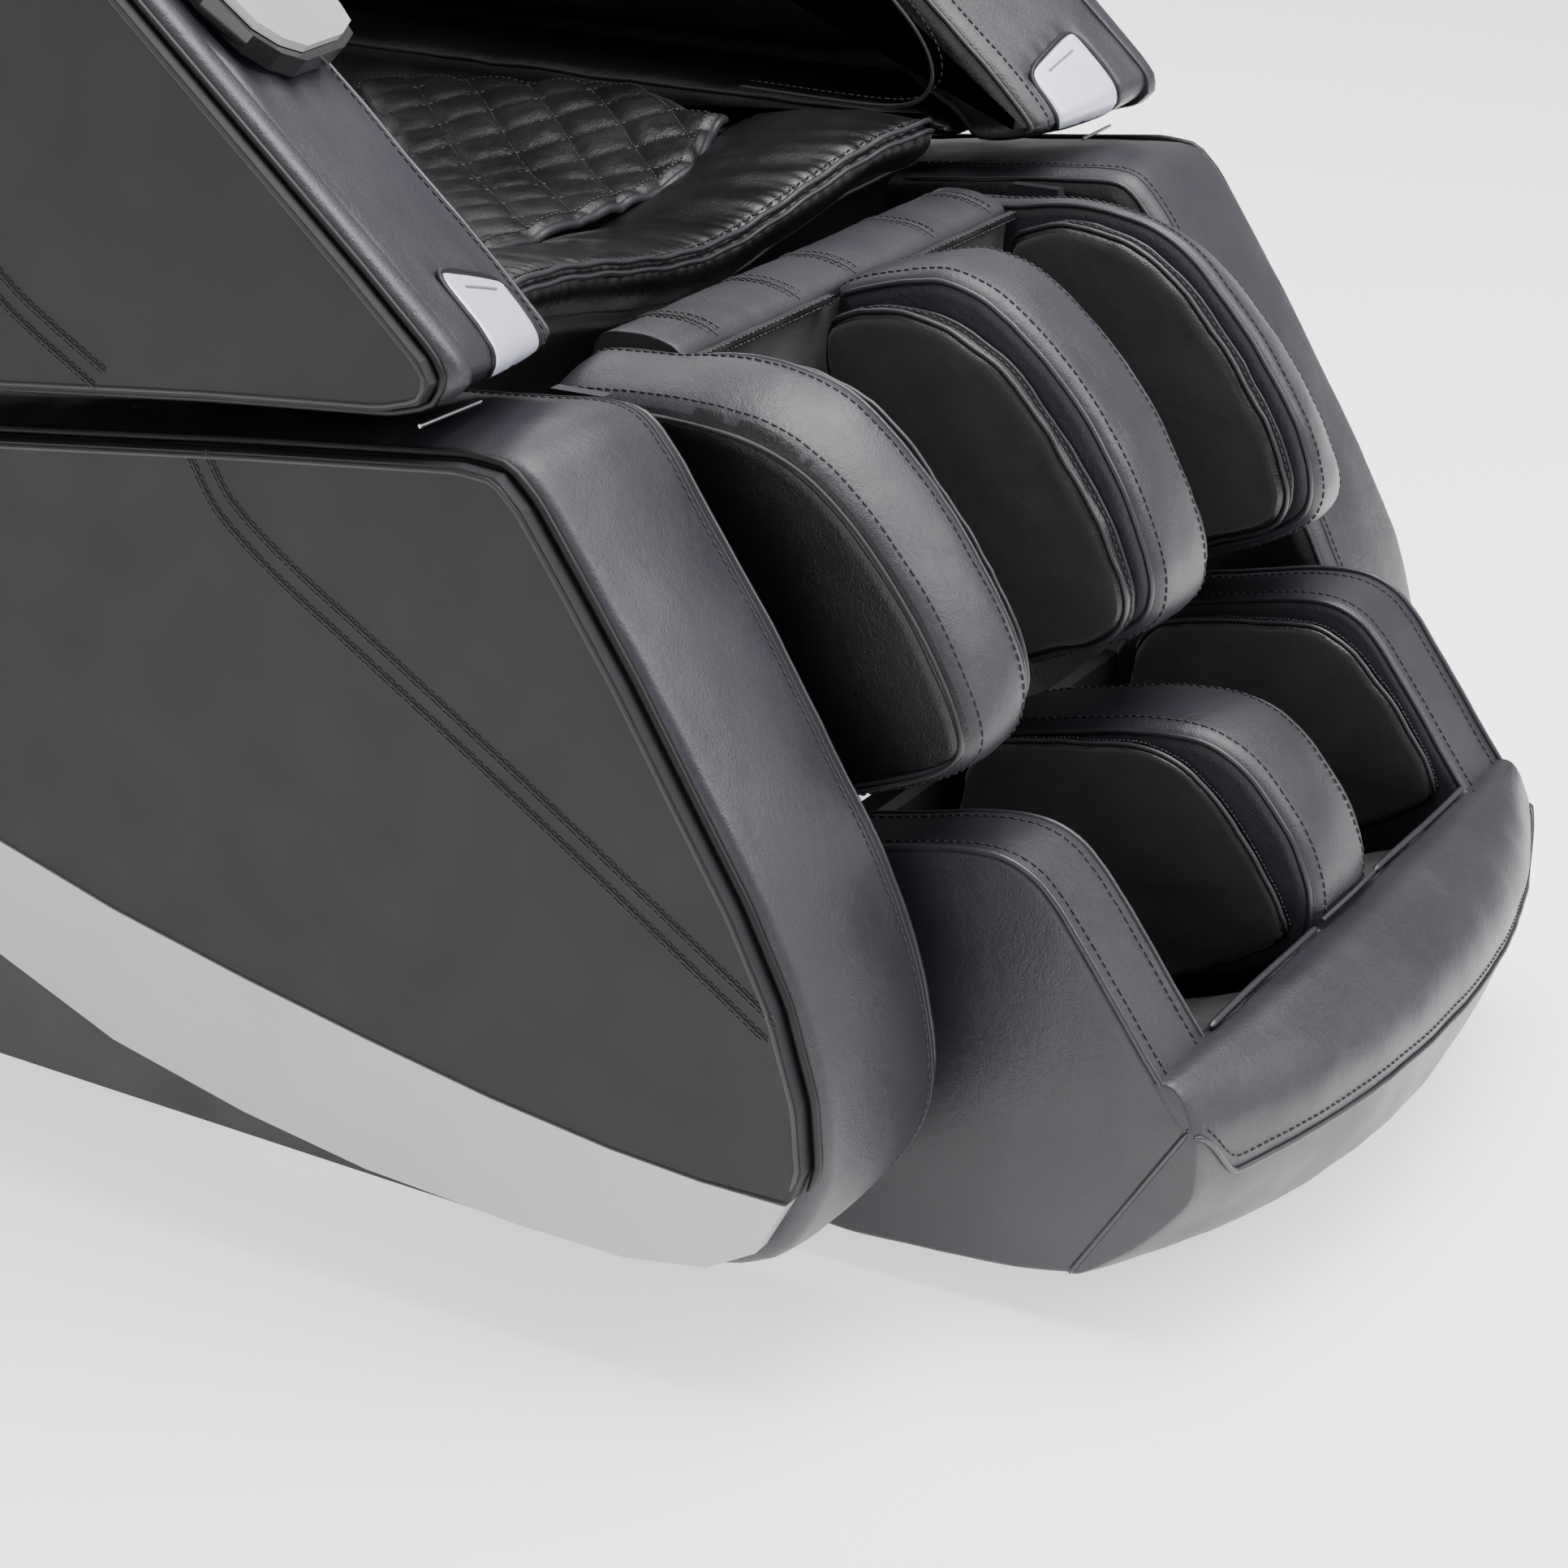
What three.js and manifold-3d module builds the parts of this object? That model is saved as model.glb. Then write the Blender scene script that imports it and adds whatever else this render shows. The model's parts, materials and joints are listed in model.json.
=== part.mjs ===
// Full-body massage chair, modelled at its real size in millimetres.
// +Z is up, -Y is the front (the way the sitter faces), X is lateral and the chair is symmetric
// about X = 0 apart from the control pad, which is on the sitter's right arm (-X).
// The origin is on the floor under the middle of the chair's bounding box.
// Names ending in _R are on the sitter's right (-X), names ending in _L on the left (+X).
import * as THREE from 'three';
import { mergeVertices } from 'three/addons/utils/BufferGeometryUtils.js';
import Module from 'manifold-3d';

const wasm = await Module();
wasm.setup();

// ---------------------------------------------------------------- driving dimensions
const HALF_WIDTH = 405;          // overall half width over the side panels
const GAP = 0.4;                 // assembly gap between touching pieces

const POD_IN = 275, POD_OUT = 392.6;      // lower side pods, |x|
const PANEL_IN = 393, PANEL_OUT = 405;    // outer skins of the pods, |x|
const ARM_IN = 269, ARM_SHELL_IN = 380, ARM_SHELL_OUT = 395.6, ARM_PANEL_IN = 396;

const RAIL_IN = 170, RAIL_OUT = 210;      // base frame rails, |x|
const SEAT_RAIL_IN = 214, SEAT_RAIL_OUT = 250;
const SEAT_HALF = 252;                    // half width of the seat cushions

const TILT = [300, 300];         // seat tilt axis (y, z)
const TILT_R = 12;
const HINGE_BACK = [215, 380];   // backrest recline axis (y, z)
const HINGE_BACK_R = 10;
const BACK_ANGLE = 30 * Math.PI / 180;    // backrest angle from the vertical at rest
const HINGE_LEG = [-410, 445];   // legrest lift axis (y, z)
const HINGE_LEG_R = 10;
const LEG_DIR = [-0.4226, -0.9063];       // direction of the calves, knee to ankle (y, z)

const CALF_IN = 187.4, CALF_OUT = 247;    // calf side walls, |x|
const CALF_DIV = 36;                      // half width of the calf divider
const FOOT_IN = 188.4, FOOT_OUT = 250;    // foot side walls, |x|
const FOOT_DIV = 39;

const WHEEL_R = 36, WHEEL_Y = 440;
const ROLLER_R = 26;                      // back massage rollers
const FOOT_ROLLER = { y: -640, z: 52, r: 18 };

// ---------------------------------------------------------------- finishes
const mat = (color, roughness, metalness = 0) =>
  new THREE.MeshStandardMaterial({ color, roughness, metalness });
const LEATHER = mat(0x2c2c30, 0.5);
const BLACK_LEATHER = mat(0x141416, 0.45);
const FABRIC = mat(0x121214, 0.9);
const PANEL = mat(0x434145, 0.6);
const SILVER = mat(0xb9babf, 0.35, 0.6);
const SHELL = mat(0x1b1b1d, 0.5);
const GLOSS = mat(0x0c0c0e, 0.12);
const STEEL = mat(0x2a2b2e, 0.5, 0.7);
const CHROME = mat(0xc9ccd0, 0.2, 1.0);
const RUBBER = mat(0x1a1a1a, 0.85);
const POLYMER = mat(0x33353a, 0.55);

// ---------------------------------------------------------------- helpers
const chair = new THREE.Group();
chair.name = 'massage_chair';

function add(name, geometry, material) {
  const mesh = new THREE.Mesh(geometry, material);
  mesh.name = name;
  chair.add(mesh);
  return mesh;
}

// shape x -> world Y, shape y -> world Z, depth -> world X
const ALONG_X = new THREE.Matrix4().makeBasis(
  new THREE.Vector3(0, 1, 0), new THREE.Vector3(0, 0, 1), new THREE.Vector3(1, 0, 0));

function shapeOf(points, holes = []) {
  const shape = new THREE.Shape(points.map(([a, b]) => new THREE.Vector2(a, b)));
  for (const h of holes) shape.holes.push(new THREE.Path(h.map(([a, b]) => new THREE.Vector2(a, b))));
  return shape;
}

// side-view outline (y, z) extruded from x0 to x1
function extrudeX(points, x0, x1, holes = []) {
  const g = new THREE.ExtrudeGeometry(shapeOf(points, holes),
    { depth: x1 - x0, bevelEnabled: false, curveSegments: 1 });
  g.applyMatrix4(ALONG_X);
  g.translate(x0, 0, 0);
  return g;
}

// the same on one side of the chair: side is -1 (right) or +1 (left)
function slab(points, side, inner, outer, holes = []) {
  return side > 0 ? extrudeX(points, inner, outer, holes) : extrudeX(points, -outer, -inner, holes);
}

function box(x0, x1, y0, y1, z0, z1) {
  const g = new THREE.BoxGeometry(x1 - x0, y1 - y0, z1 - z0);
  g.translate((x0 + x1) / 2, (y0 + y1) / 2, (z0 + z1) / 2);
  return g;
}

function cylX(r, x0, x1, y, z, segments = 24) {
  const g = new THREE.CylinderGeometry(r, r, x1 - x0, segments);
  g.rotateZ(Math.PI / 2);
  g.translate((x0 + x1) / 2, y, z);
  return g;
}

function circle(cy, cz, r, n = 24) {
  const out = [];
  for (let i = 0; i < n; i++) {
    const a = (i / n) * Math.PI * 2;
    out.push([cy + r * Math.cos(a), cz + r * Math.sin(a)]);
  }
  return out;
}

// a wheel or roller about X, from its (radius, x) profile, closed on itself
function lathX(profile, y, z, segments = 28) {
  const pts = profile.map(([r, x]) => new THREE.Vector2(r, x));
  pts.push(pts[0].clone());
  const g = new THREE.LatheGeometry(pts, segments);
  g.rotateZ(-Math.PI / 2);     // lathe axis Y -> world X
  g.translate(0, y, z);
  return g;
}

function solid(geometry) {
  const q = geometry.index ? geometry.toNonIndexed() : geometry.clone();
  const p = new THREE.BufferGeometry().setAttribute('position', q.getAttribute('position'));
  const m = mergeVertices(p, 1e-3);
  const s = new wasm.Manifold(new wasm.Mesh({
    numProp: 3,
    vertProperties: m.attributes.position.array,
    triVerts: new Uint32Array(m.index.array),
  }));
  return s;
}

function geometryOf(s) {
  const m = s.getMesh();
  const n = m.numProp, count = m.vertProperties.length / n;
  const pos = new Float32Array(count * 3);
  for (let i = 0; i < count; i++)
    for (let k = 0; k < 3; k++) pos[3 * i + k] = m.vertProperties[n * i + k];
  const g = new THREE.BufferGeometry();
  g.setAttribute('position', new THREE.BufferAttribute(pos, 3));
  g.setIndex(Array.from(m.triVerts));
  return g;
}
const join = (...gs) => geometryOf(gs.map(solid).reduce((a, b) => a.add(b)));
const cut = (g, ...tools) => geometryOf(tools.map(solid).reduce((a, b) => a.subtract(b), solid(g)));

// a loft between outlines (y, z) at rising x, all with the same number of points
function loftX(stations) {
  const n = stations[0].pts.length;
  const pos = [], idx = [];
  for (const { x, pts } of stations) for (const [y, z] of pts) pos.push(x, y, z);
  for (let s = 0; s + 1 < stations.length; s++)
    for (let i = 0; i < n; i++) {
      const j = (i + 1) % n, a = s * n + i, b = s * n + j, c = a + n, d = b + n;
      idx.push(a, b, d, a, d, c);
    }
  const caps = (s, flip) => {
    const c2 = stations[s].pts.map(([y, z]) => new THREE.Vector2(y, z));
    for (const [a, b, c] of THREE.ShapeUtils.triangulateShape(c2, []))
      flip ? idx.push(s * n + a, s * n + c, s * n + b) : idx.push(s * n + a, s * n + b, s * n + c);
  };
  const area = THREE.ShapeUtils.area(stations[0].pts.map(([y, z]) => new THREE.Vector2(y, z)));
  caps(0, true);
  caps(stations.length - 1, false);
  if (area < 0)
    for (let k = 0; k < (stations.length - 1) * n * 6; k += 3) [idx[k + 1], idx[k + 2]] = [idx[k + 2], idx[k + 1]];
  const g = new THREE.BufferGeometry();
  g.setAttribute('position', new THREE.BufferAttribute(new Float32Array(pos), 3));
  g.setIndex(idx);
  return g;
}
function loftSide(side, inner, innerPts, outer, outerPts) {
  return side > 0
    ? loftX([{ x: inner, pts: innerPts }, { x: outer, pts: outerPts }])
    : loftX([{ x: -outer, pts: outerPts }, { x: -inner, pts: innerPts }]);
}

// backrest frame: s runs up the backrest from its hinge, t runs rearwards from the hinge line
const SIN = Math.sin(BACK_ANGLE), COS = Math.cos(BACK_ANGLE);
const back = ([s, t]) => [HINGE_BACK[0] + s * SIN + t * COS, HINGE_BACK[1] + s * COS - t * SIN];
const backAll = (pts) => pts.map(back);
// front-view outline (x, s) extruded over t0..t1
const BACK_BASIS = new THREE.Matrix4().makeBasis(
  new THREE.Vector3(1, 0, 0), new THREE.Vector3(0, SIN, COS), new THREE.Vector3(0, -COS, SIN));
function extrudeBack(points, t0, t1) {
  const g = new THREE.ExtrudeGeometry(shapeOf(points), { depth: t1 - t0, bevelEnabled: false, curveSegments: 1 });
  g.translate(0, 0, -t1);                    // depth axis points forwards, -t
  g.applyMatrix4(BACK_BASIS);
  g.translate(0, HINGE_BACK[0], HINGE_BACK[1]);
  return g;
}

const SIDES = [['R', -1], ['L', 1]];

// ================================================================ base
// two rails with uprights for the tilt shaft and stub axles for the rear wheels, joined by cross members
const railOutline = [
  [-440, 78], [-440, 108], [262, 108], [268, 322], [280, 330], [320, 330], [332, 322], [338, 108],
  [470, 108], [470, 78], [456, 78], [452, 24], [428, 24], [424, 78],
];
const railR = extrudeX(railOutline, -RAIL_OUT, -RAIL_IN, [circle(TILT[0], TILT[1], TILT_R + 0.5)]);
const railL = extrudeX(railOutline, RAIL_IN, RAIL_OUT, [circle(TILT[0], TILT[1], TILT_R + 0.5)]);
add('base_frame', join(
  railR, railL,
  box(-RAIL_IN - 1, RAIL_IN + 1, -420, -380, 80, 106),
  box(-RAIL_IN - 1, RAIL_IN + 1, 380, 420, 80, 106),
  cylX(8, -244, -RAIL_IN - 5, WHEEL_Y, WHEEL_R, 20),
  cylX(8, RAIL_IN + 5, 244, WHEEL_Y, WHEEL_R, 20),
), STEEL);

for (const [tag, side] of SIDES) {
  const x = side * 190;
  const foot = new THREE.LatheGeometry([
    [0, 0], [32, 0], [34, 3], [34, 10], [28, 14], [11, 16], [11, 77.6], [0, 77.6],
  ].map(([r, z]) => new THREE.Vector2(r, z)), 24);
  foot.rotateX(Math.PI / 2);
  foot.translate(x, -400, 0);
  add('leveling_foot_' + tag, foot, RUBBER);

  const w0 = side > 0 ? 214 : -240, w1 = side > 0 ? 240 : -214;
  add('caster_wheel_' + tag, lathX([
    [8.4, w0 + 1], [14, w0], [WHEEL_R - 4, w0], [WHEEL_R, w0 + 4], [WHEEL_R, w1 - 4], [WHEEL_R - 4, w1], [14, w1], [8.4, w1 - 1],
  ], WHEEL_Y, WHEEL_R), RUBBER);
}

add('tilt_shaft', cylX(TILT_R, -255, 255, TILT[0], TILT[1]), STEEL);

// rear electronics housing with a switch pocket and a recessed mains inlet on its rear face
const SWITCH = { x: -60, y: 466, z: 190 };
add('rear_housing', cut(
  extrudeX([[352, 108.4], [352, 214], [372, 232], [448, 232], [470, 218], [470, 108.4]], -284, 284),
  box(SWITCH.x - 10, SWITCH.x + 10, 454, 480, SWITCH.z - 16, SWITCH.z + 16),
  box(20, 50, 450, 480, 176, 200),
), SHELL);
add('rocker_switch', extrudeX([
  [SWITCH.y + 5, SWITCH.z - 13], [SWITCH.y + 5, SWITCH.z + 13], [SWITCH.y - 5, SWITCH.z + 11], [SWITCH.y - 5, SWITCH.z - 11],
], SWITCH.x - 8, SWITCH.x + 8), GLOSS);

// lower skirts of the base, under the pods
const coverOutline = [
  [-446, 59], [-361, 64], [-282, 77], [-196, 98], [-120, 131], [0, 184], [100, 231], [200, 279],
  [300, 327], [400, 373], [440, 391], [458, 392], [472, 378], [482, 330], [489, 240], [490, 120], [470, 88], [450, 84], [-99, 69.5],
];
for (const [tag, side] of SIDES)
  add('base_cover_' + tag, slab(coverOutline, side, 290, 388), SHELL);

// side pods: a padded shell, and an outer skin in two pieces, a panel and a bright sweep below it
const podShell = [
  [450, 410], [400, 402], [300, 402], [150, 414], [0, 429], [-152, 446], [-308, 464], [-434, 477], [-462, 477], [-480, 461],
  [-508, 419], [-535, 379], [-566, 328], [-597, 276], [-620, 228], [-633, 180], [-636, 141], [-627, 113], [-607, 83],
  [-573, 66], [-520, 61], [-457, 61], [-361, 68], [-282, 81], [-196, 102], [-120, 135], [0, 188], [100, 235],
  [200, 283], [300, 331], [400, 377], [450, 399],
];
const podPanel = [
  [392, 394], [300, 390], [150, 405], [0, 421], [-152, 438], [-308, 456], [-434, 469], [-456, 467], [-470, 453], [-496, 414],
  [-522, 374], [-552, 323], [-583, 271], [-605, 225], [-619, 177], [-621.5, 142], [-615, 126],
  [-564, 125.5], [-512, 129.5], [-440, 139.5], [-365, 153.5], [-288, 169.5], [-203, 189.5], [-127, 212.5], [0, 258], [100, 299], [200, 336], [300, 368],
];
const podSweep = [
  [-613, 123.5], [-596, 93], [-568, 77], [-520, 69], [-457, 69.5], [-361, 76], [-282, 89], [-196, 110], [-120, 143],
  [0, 196], [100, 243], [200, 291], [300, 339], [400, 385], [441, 403], [400, 395],
  [300, 366.5], [200, 334.5], [100, 297.5], [0, 256.5], [-127, 211], [-203, 188], [-288, 168], [-365, 152], [-440, 138], [-512, 128], [-564, 124],
];
for (const [tag, side] of SIDES) {
  add('pod_shell_' + tag, slab(podShell, side, POD_IN, POD_OUT), LEATHER);
  add('pod_panel_' + tag, slab(podPanel, side, PANEL_IN, PANEL_OUT - 1), PANEL);
  add('swoosh_trim_' + tag, slab(podSweep, side, PANEL_IN, PANEL_OUT), SILVER);
}

// ================================================================ seat, tilts on the base
const seatRail = [
  [-310, 302], [-310, 350], [180, 350], [190, 398], [203, 408], [227, 408], [240, 398], [246, 350],
  [332, 340], [332, 284], [320, 276], [280, 276], [262, 302],
];
const bracket = [
  [-268, 312], [-268, 346], [-332, 374], [-394, 466], [-426, 466], [-432, 440], [-416, 420], [-348, 342], [-312, 312],
];
const seatParts = [box(-SEAT_RAIL_IN - 1, SEAT_RAIL_IN + 1, -300, 190, 340, 350)];
for (const [, side] of SIDES) {
  seatParts.push(slab(seatRail, side, SEAT_RAIL_IN, SEAT_RAIL_OUT,
    [circle(TILT[0], TILT[1], TILT_R + 0.5), circle(HINGE_BACK[0], HINGE_BACK[1], HINGE_BACK_R + 0.5)]));
  seatParts.push(slab([[-309, 314], [-309, 344], [-270, 344], [-270, 314]], side, SEAT_RAIL_OUT - 2, 257));
  seatParts.push(slab(bracket, side, 255.5, 263.5, [circle(HINGE_LEG[0], HINGE_LEG[1], HINGE_LEG_R + 0.3)]));
  // outrigger that carries the arm
  seatParts.push(slab([[60, 318], [60, 346], [120, 346], [120, 318]], side, SEAT_RAIL_OUT - 2, 268));
  seatParts.push(slab([[60, 318], [60, 424], [120, 424], [120, 318]], side, 254, 268));
}
add('seat_frame', join(...seatParts), STEEL);
add('back_shaft', cylX(HINGE_BACK_R, -252, 252, HINGE_BACK[0], HINGE_BACK[1]), STEEL);
add('legrest_shaft', cylX(HINGE_LEG_R, -265, 265, HINGE_LEG[0], HINGE_LEG[1]), CHROME);

add('seat_cushion', extrudeX([
  [-296, 350.6], [-296, 440], [-180, 446], [-20, 434], [150, 414], [172, 396], [172, 350.6],
], -SEAT_HALF, SEAT_HALF), BLACK_LEATHER);
add('seat_front_pillow', extrudeX([
  [-300, 402], [-330, 403], [-344, 420], [-350, 452], [-349, 482], [-338, 500], [-310, 505], [-260, 500], [-200, 484],
  [-186, 468], [-186, 447], [-296.6, 441], [-300, 430],
], -SEAT_HALF, SEAT_HALF), BLACK_LEATHER);
add('seat_quilt_pad', extrudeX([
  [-184, 447.2], [-184, 478], [-170, 484], [-100, 480], [40, 466], [90, 458], [96, 448], [96, 422.5], [-20, 435.4], [-180, 447.4],
], -245, 245), BLACK_LEATHER);

// arms: outer shell, outer panel, padded top that falls towards the seat, lower pad of the forearm channel
const armTopInner = [
  [-352, 481], [-385, 484], [-403, 490], [-408, 498], [-401, 506], [-373, 534], [-168, 719], [-134, 742], [-84, 762],
  [0, 776], [150, 790], [300, 802], [335, 802], [335, 744], [150, 732], [0, 718], [-80, 702], [-130, 678], [-318, 508], [-346, 496],
];
const armTopOuter = [
  [-352, 483], [-392, 487], [-420, 494], [-430, 504], [-428, 515], [-421, 523], [-176, 747], [-142, 771], [-92, 790],
  [0, 804], [150, 818], [300, 830], [335, 830], [335, 764], [150, 750], [0, 736], [-80, 718], [-128, 692], [-318, 522], [-346, 502],
];
const armShell = [
  [-352, 483], [-392, 487], [-420, 494], [-430, 504], [-428, 515], [-421, 523], [-176, 747], [-142, 771], [-92, 790],
  [0, 804], [150, 818], [300, 830], [335, 830], [337, 812], [337, 452], [330, 440], [300, 432], [150, 437], [0, 446], [-153, 458], [-285, 475],
];
const armPanel = [
  [-421, 507], [-416, 517], [-377, 554], [-246, 672], [-172, 738], [-138, 761], [-88, 780], [0, 793], [150, 807], [300, 819], [322, 818],
  [327, 806], [327, 460], [316, 450], [300, 446], [150, 450], [0, 457], [-154, 467], [-285, 481], [-392, 490], [-414, 496],
];
const armLower = [
  [-346, 484], [-346, 494], [-318, 504], [0, 506], [335, 510], [335, 446], [300, 434], [150, 439], [0, 448], [-153, 460], [-285, 477],
];
// bright end cap: a thin plate bent over the nose of the arm top, in a recess of its own
for (const [tag, side] of SIDES) {
  const top = loftSide(side, ARM_IN, armTopInner, ARM_SHELL_IN - GAP, armTopOuter);
  const x0 = side > 0 ? 292 : -352, x1 = side > 0 ? 352 : -292;
  const capSlot = extrudeX([
    [-386, 530], [-372, 560], [-440, 560], [-450, 470], [-392, 476], [-392, 493.5], [-409, 495.5], [-411.5, 499.5], [-406.5, 505],
    [-385, 524.4],
  ], x0, x1);
  add('arm_top_' + tag, cut(top, capSlot), LEATHER);
  add('arm_cap_' + tag, extrudeX([
    [-387, 530], [-410, 509], [-417, 501], [-414, 493], [-404, 489.5], [-393, 488.5], [-393, 493], [-408.5, 494.6], [-412, 499.3], [-406.8, 505.2], [-385.2, 524.9],
  ], x0 + 1, x1 - 1), SILVER);
  add('arm_shell_' + tag, slab(armShell, side, ARM_SHELL_IN, ARM_SHELL_OUT), SHELL);
  add('arm_panel_' + tag, slab(armPanel, side, ARM_PANEL_IN, HALF_WIDTH), PANEL);
  add('arm_lower_pad_' + tag, slab(armLower, side, 272, ARM_SHELL_IN - GAP), BLACK_LEATHER);
}

// control pad on the right arm: a glossy base wedge and a satin cover, lying on the sloping arm top
const SLOPE = Math.atan2(719 - 534, -168 + 373);
const PAD_ROLL = 10 * Math.PI / 180;      // the arm top also falls towards the seat
const PAD_AT = [-324, -290, 626];
function padGeometry(points, h0, h1) {
  // outline in (x, distance up the slope), extruded normal to the rolled slope
  const g = new THREE.ExtrudeGeometry(shapeOf(points), { depth: h1 - h0, bevelEnabled: false, curveSegments: 1 });
  g.translate(-PAD_AT[0], 0, h0);
  const up = new THREE.Vector3(0, -Math.sin(SLOPE), Math.cos(SLOPE));
  const across = new THREE.Vector3(1, 0, 0).multiplyScalar(Math.cos(PAD_ROLL)).addScaledVector(up, -Math.sin(PAD_ROLL));
  const normal = new THREE.Vector3(1, 0, 0).multiplyScalar(Math.sin(PAD_ROLL)).addScaledVector(up, Math.cos(PAD_ROLL));
  g.applyMatrix4(new THREE.Matrix4().makeBasis(
    across, new THREE.Vector3(0, Math.cos(SLOPE), Math.sin(SLOPE)), normal));
  g.translate(...PAD_AT);
  return g;
}
const padOutline = [[-277, 8], [-296, 0], [-340, -6], [-356, 0], [-368, 12], [-374, 40], [-374, 140], [-366, 152], [-284, 152], [-275, 140], [-273, 20]];
const padTop = padOutline.map(([x, d]) => [-324 + (x + 324) * 0.93, 76 + (d - 76) * 0.94]);
add('control_pad_base', padGeometry(padOutline, 4.5, 16), GLOSS);
add('control_pad_cover', padGeometry(padTop, 16.4, 21), SILVER);

// ================================================================ backrest, reclines on the seat
for (const [tag, side] of SIDES)
  add('back_rail_' + tag, slab(backAll([
    [-22, -12], [-12, -22], [12, -22], [870, -18], [870, 24], [60, 26], [12, 22], [-12, 22], [-22, 12],
  ]), side, 176, 206, [circle(HINGE_BACK[0], HINGE_BACK[1], HINGE_BACK_R + 0.5)]), STEEL);

const backSide = [[112, -60], [112, 120], [180, 144], [300, 164], [500, 182], [700, 184], [850, 172], [935, 141.45], [985, 96], [1010, 40], [1006, -20], [346, -20], [344, -60]];
const backFront = [
  [-262, 100], [262, 100], [262, 340], [300, 344], [356, 366], [392, 408], [400, 460], [400, 740], [390, 820], [356, 900], [296, 962], [200, 998], [100, 1012], [0, 1016],
  [-100, 1012], [-200, 998], [-296, 962], [-356, 900], [-390, 820], [-400, 740], [-400, 460], [-392, 408], [-356, 366], [-300, 344], [-262, 340],
];
const backSideIn = [[100, -80], [100, 56], [124, 60], [124, 112], [184, 136], [302, 156], [500, 174], [698, 176], [846, 164], [929, 135], [977, 92], [1000, 39], [998, -80]];
const backFrontIn = [
  [-254, 90], [254, 90], [254, 348], [298, 352], [350, 372], [384, 411], [392, 460], [392, 739], [382, 817], [350, 894], [292, 954], [198, 990], [100, 1003], [0, 1007],
  [-100, 1003], [-198, 990], [-292, 954], [-350, 894], [-382, 817], [-392, 739], [-392, 460], [-384, 411], [-350, 372], [-298, 352], [-254, 348],
];
{
  const outer = solid(extrudeX(backAll(backSide), -402, 402)).intersect(solid(extrudeBack(backFront, -100, 200)));
  const inner = solid(extrudeX(backAll(backSideIn), -402, 402)).intersect(solid(extrudeBack(backFrontIn, -100, 200)));
  add('back_shell', geometryOf(outer.subtract(inner)), SHELL);
}
add('back_pad', extrudeBack([
  [-236, 44], [236, 44], [236, 870], [216, 918], [150, 948], [0, 958], [-150, 948], [-216, 918], [-236, 870],
], -122, -62), BLACK_LEATHER);
add('head_pillow', extrudeX(backAll([
  [770, -124], [770, -160], [790, -178], [850, -182], [910, -170], [930, -150], [930, -124],
]), -150, 150), BLACK_LEATHER);
for (const [tag, side] of SIDES) {
  const prof = backAll([
    [372, -22], [372, -56], [440, -98], [540, -108], [585, -150], [630, -182], [700, -190], [760, -178], [810, -140], [850, -112], [920, -92], [970, -64], [990, -22],
  ]);
  const g = solid(slab(prof, side, 240, 392)).intersect(solid(extrudeBack(backFrontIn, -300, 100)));
  add('shoulder_bolster_' + tag, geometryOf(g), BLACK_LEATHER);
}

// massage carriage: plate, motor housing and two roller arms with stub axles, in the backrest
const CARR = 465;
const rollerAt = back([CARR, -34]);
const carriageParts = [
  extrudeX(backAll([[430, 0], [430, 20], [500, 20], [500, 0]]), -170, 170),
  extrudeX(backAll([[440, 18], [440, 88], [490, 88], [490, 18]]), -60, 60),
];
for (const [, side] of SIDES) {
  carriageParts.push(slab(backAll([[450, 2], [452, -44], [478, -44], [480, 2]]), side, 60, 72));
  carriageParts.push(side > 0 ? cylX(6, 70, 100, ...rollerAt, 16) : cylX(6, -100, -70, ...rollerAt, 16));
}
add('massage_carriage', join(...carriageParts), STEEL);
for (const [tag, side] of SIDES) {
  const a = side > 0 ? 74 : -98, b = side > 0 ? 98 : -74;
  add('massage_roller_' + tag, lathX([
    [6.3, a], [20, a], [ROLLER_R, a + 7], [ROLLER_R, b - 7], [20, b], [6.3, b],
  ], ...rollerAt, 24), POLYMER);
}

// ================================================================ legrest, lifts on the seat
// the walls' tops fall from the yoke's height at the wells to a lower outer edge
const wallInner = [
  [-371, 402], [-369, 462], [-378, 475], [-428, 476], [-454, 483], [-493, 483], [-526, 476], [-552, 459], [-578, 431], [-601, 402],
  [-617, 378], [-631, 353], [-638, 327], [-637, 311], [-627, 296], [-600, 281], [-490, 239], [-455, 235],
];
const wallOuter = [
  [-371, 402], [-369, 445], [-378, 458], [-428, 461], [-462, 461], [-497, 457], [-522, 450], [-542, 439], [-565, 419], [-587, 393],
  [-608, 363], [-621, 339], [-631, 316], [-632, 305], [-626, 294], [-600, 281], [-490, 239], [-455, 235],
];
for (const [tag, side] of SIDES)
  add('calf_wall_' + tag, cut(
    loftSide(side, CALF_IN, wallInner, CALF_OUT, wallOuter),
    extrudeX(circle(HINGE_LEG[0], HINGE_LEG[1], HINGE_LEG_R + 0.4), side > 0 ? 170 : -260, side > 0 ? 260 : -170),
  ), LEATHER);
add('calf_divider', extrudeX([
  [-428.6, 472.8], [-458, 482], [-485, 488], [-500, 490], [-525, 484], [-553, 464], [-575, 444], [-596, 418], [-615, 388], [-628, 358], [-635, 336],
  [-635, 316], [-627, 302], [-604, 288], [-500, 248], [-425.2, 423.9], [-425.2, 452], [-428.6, 466],
], -CALF_DIV, CALF_DIV), LEATHER);

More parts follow.
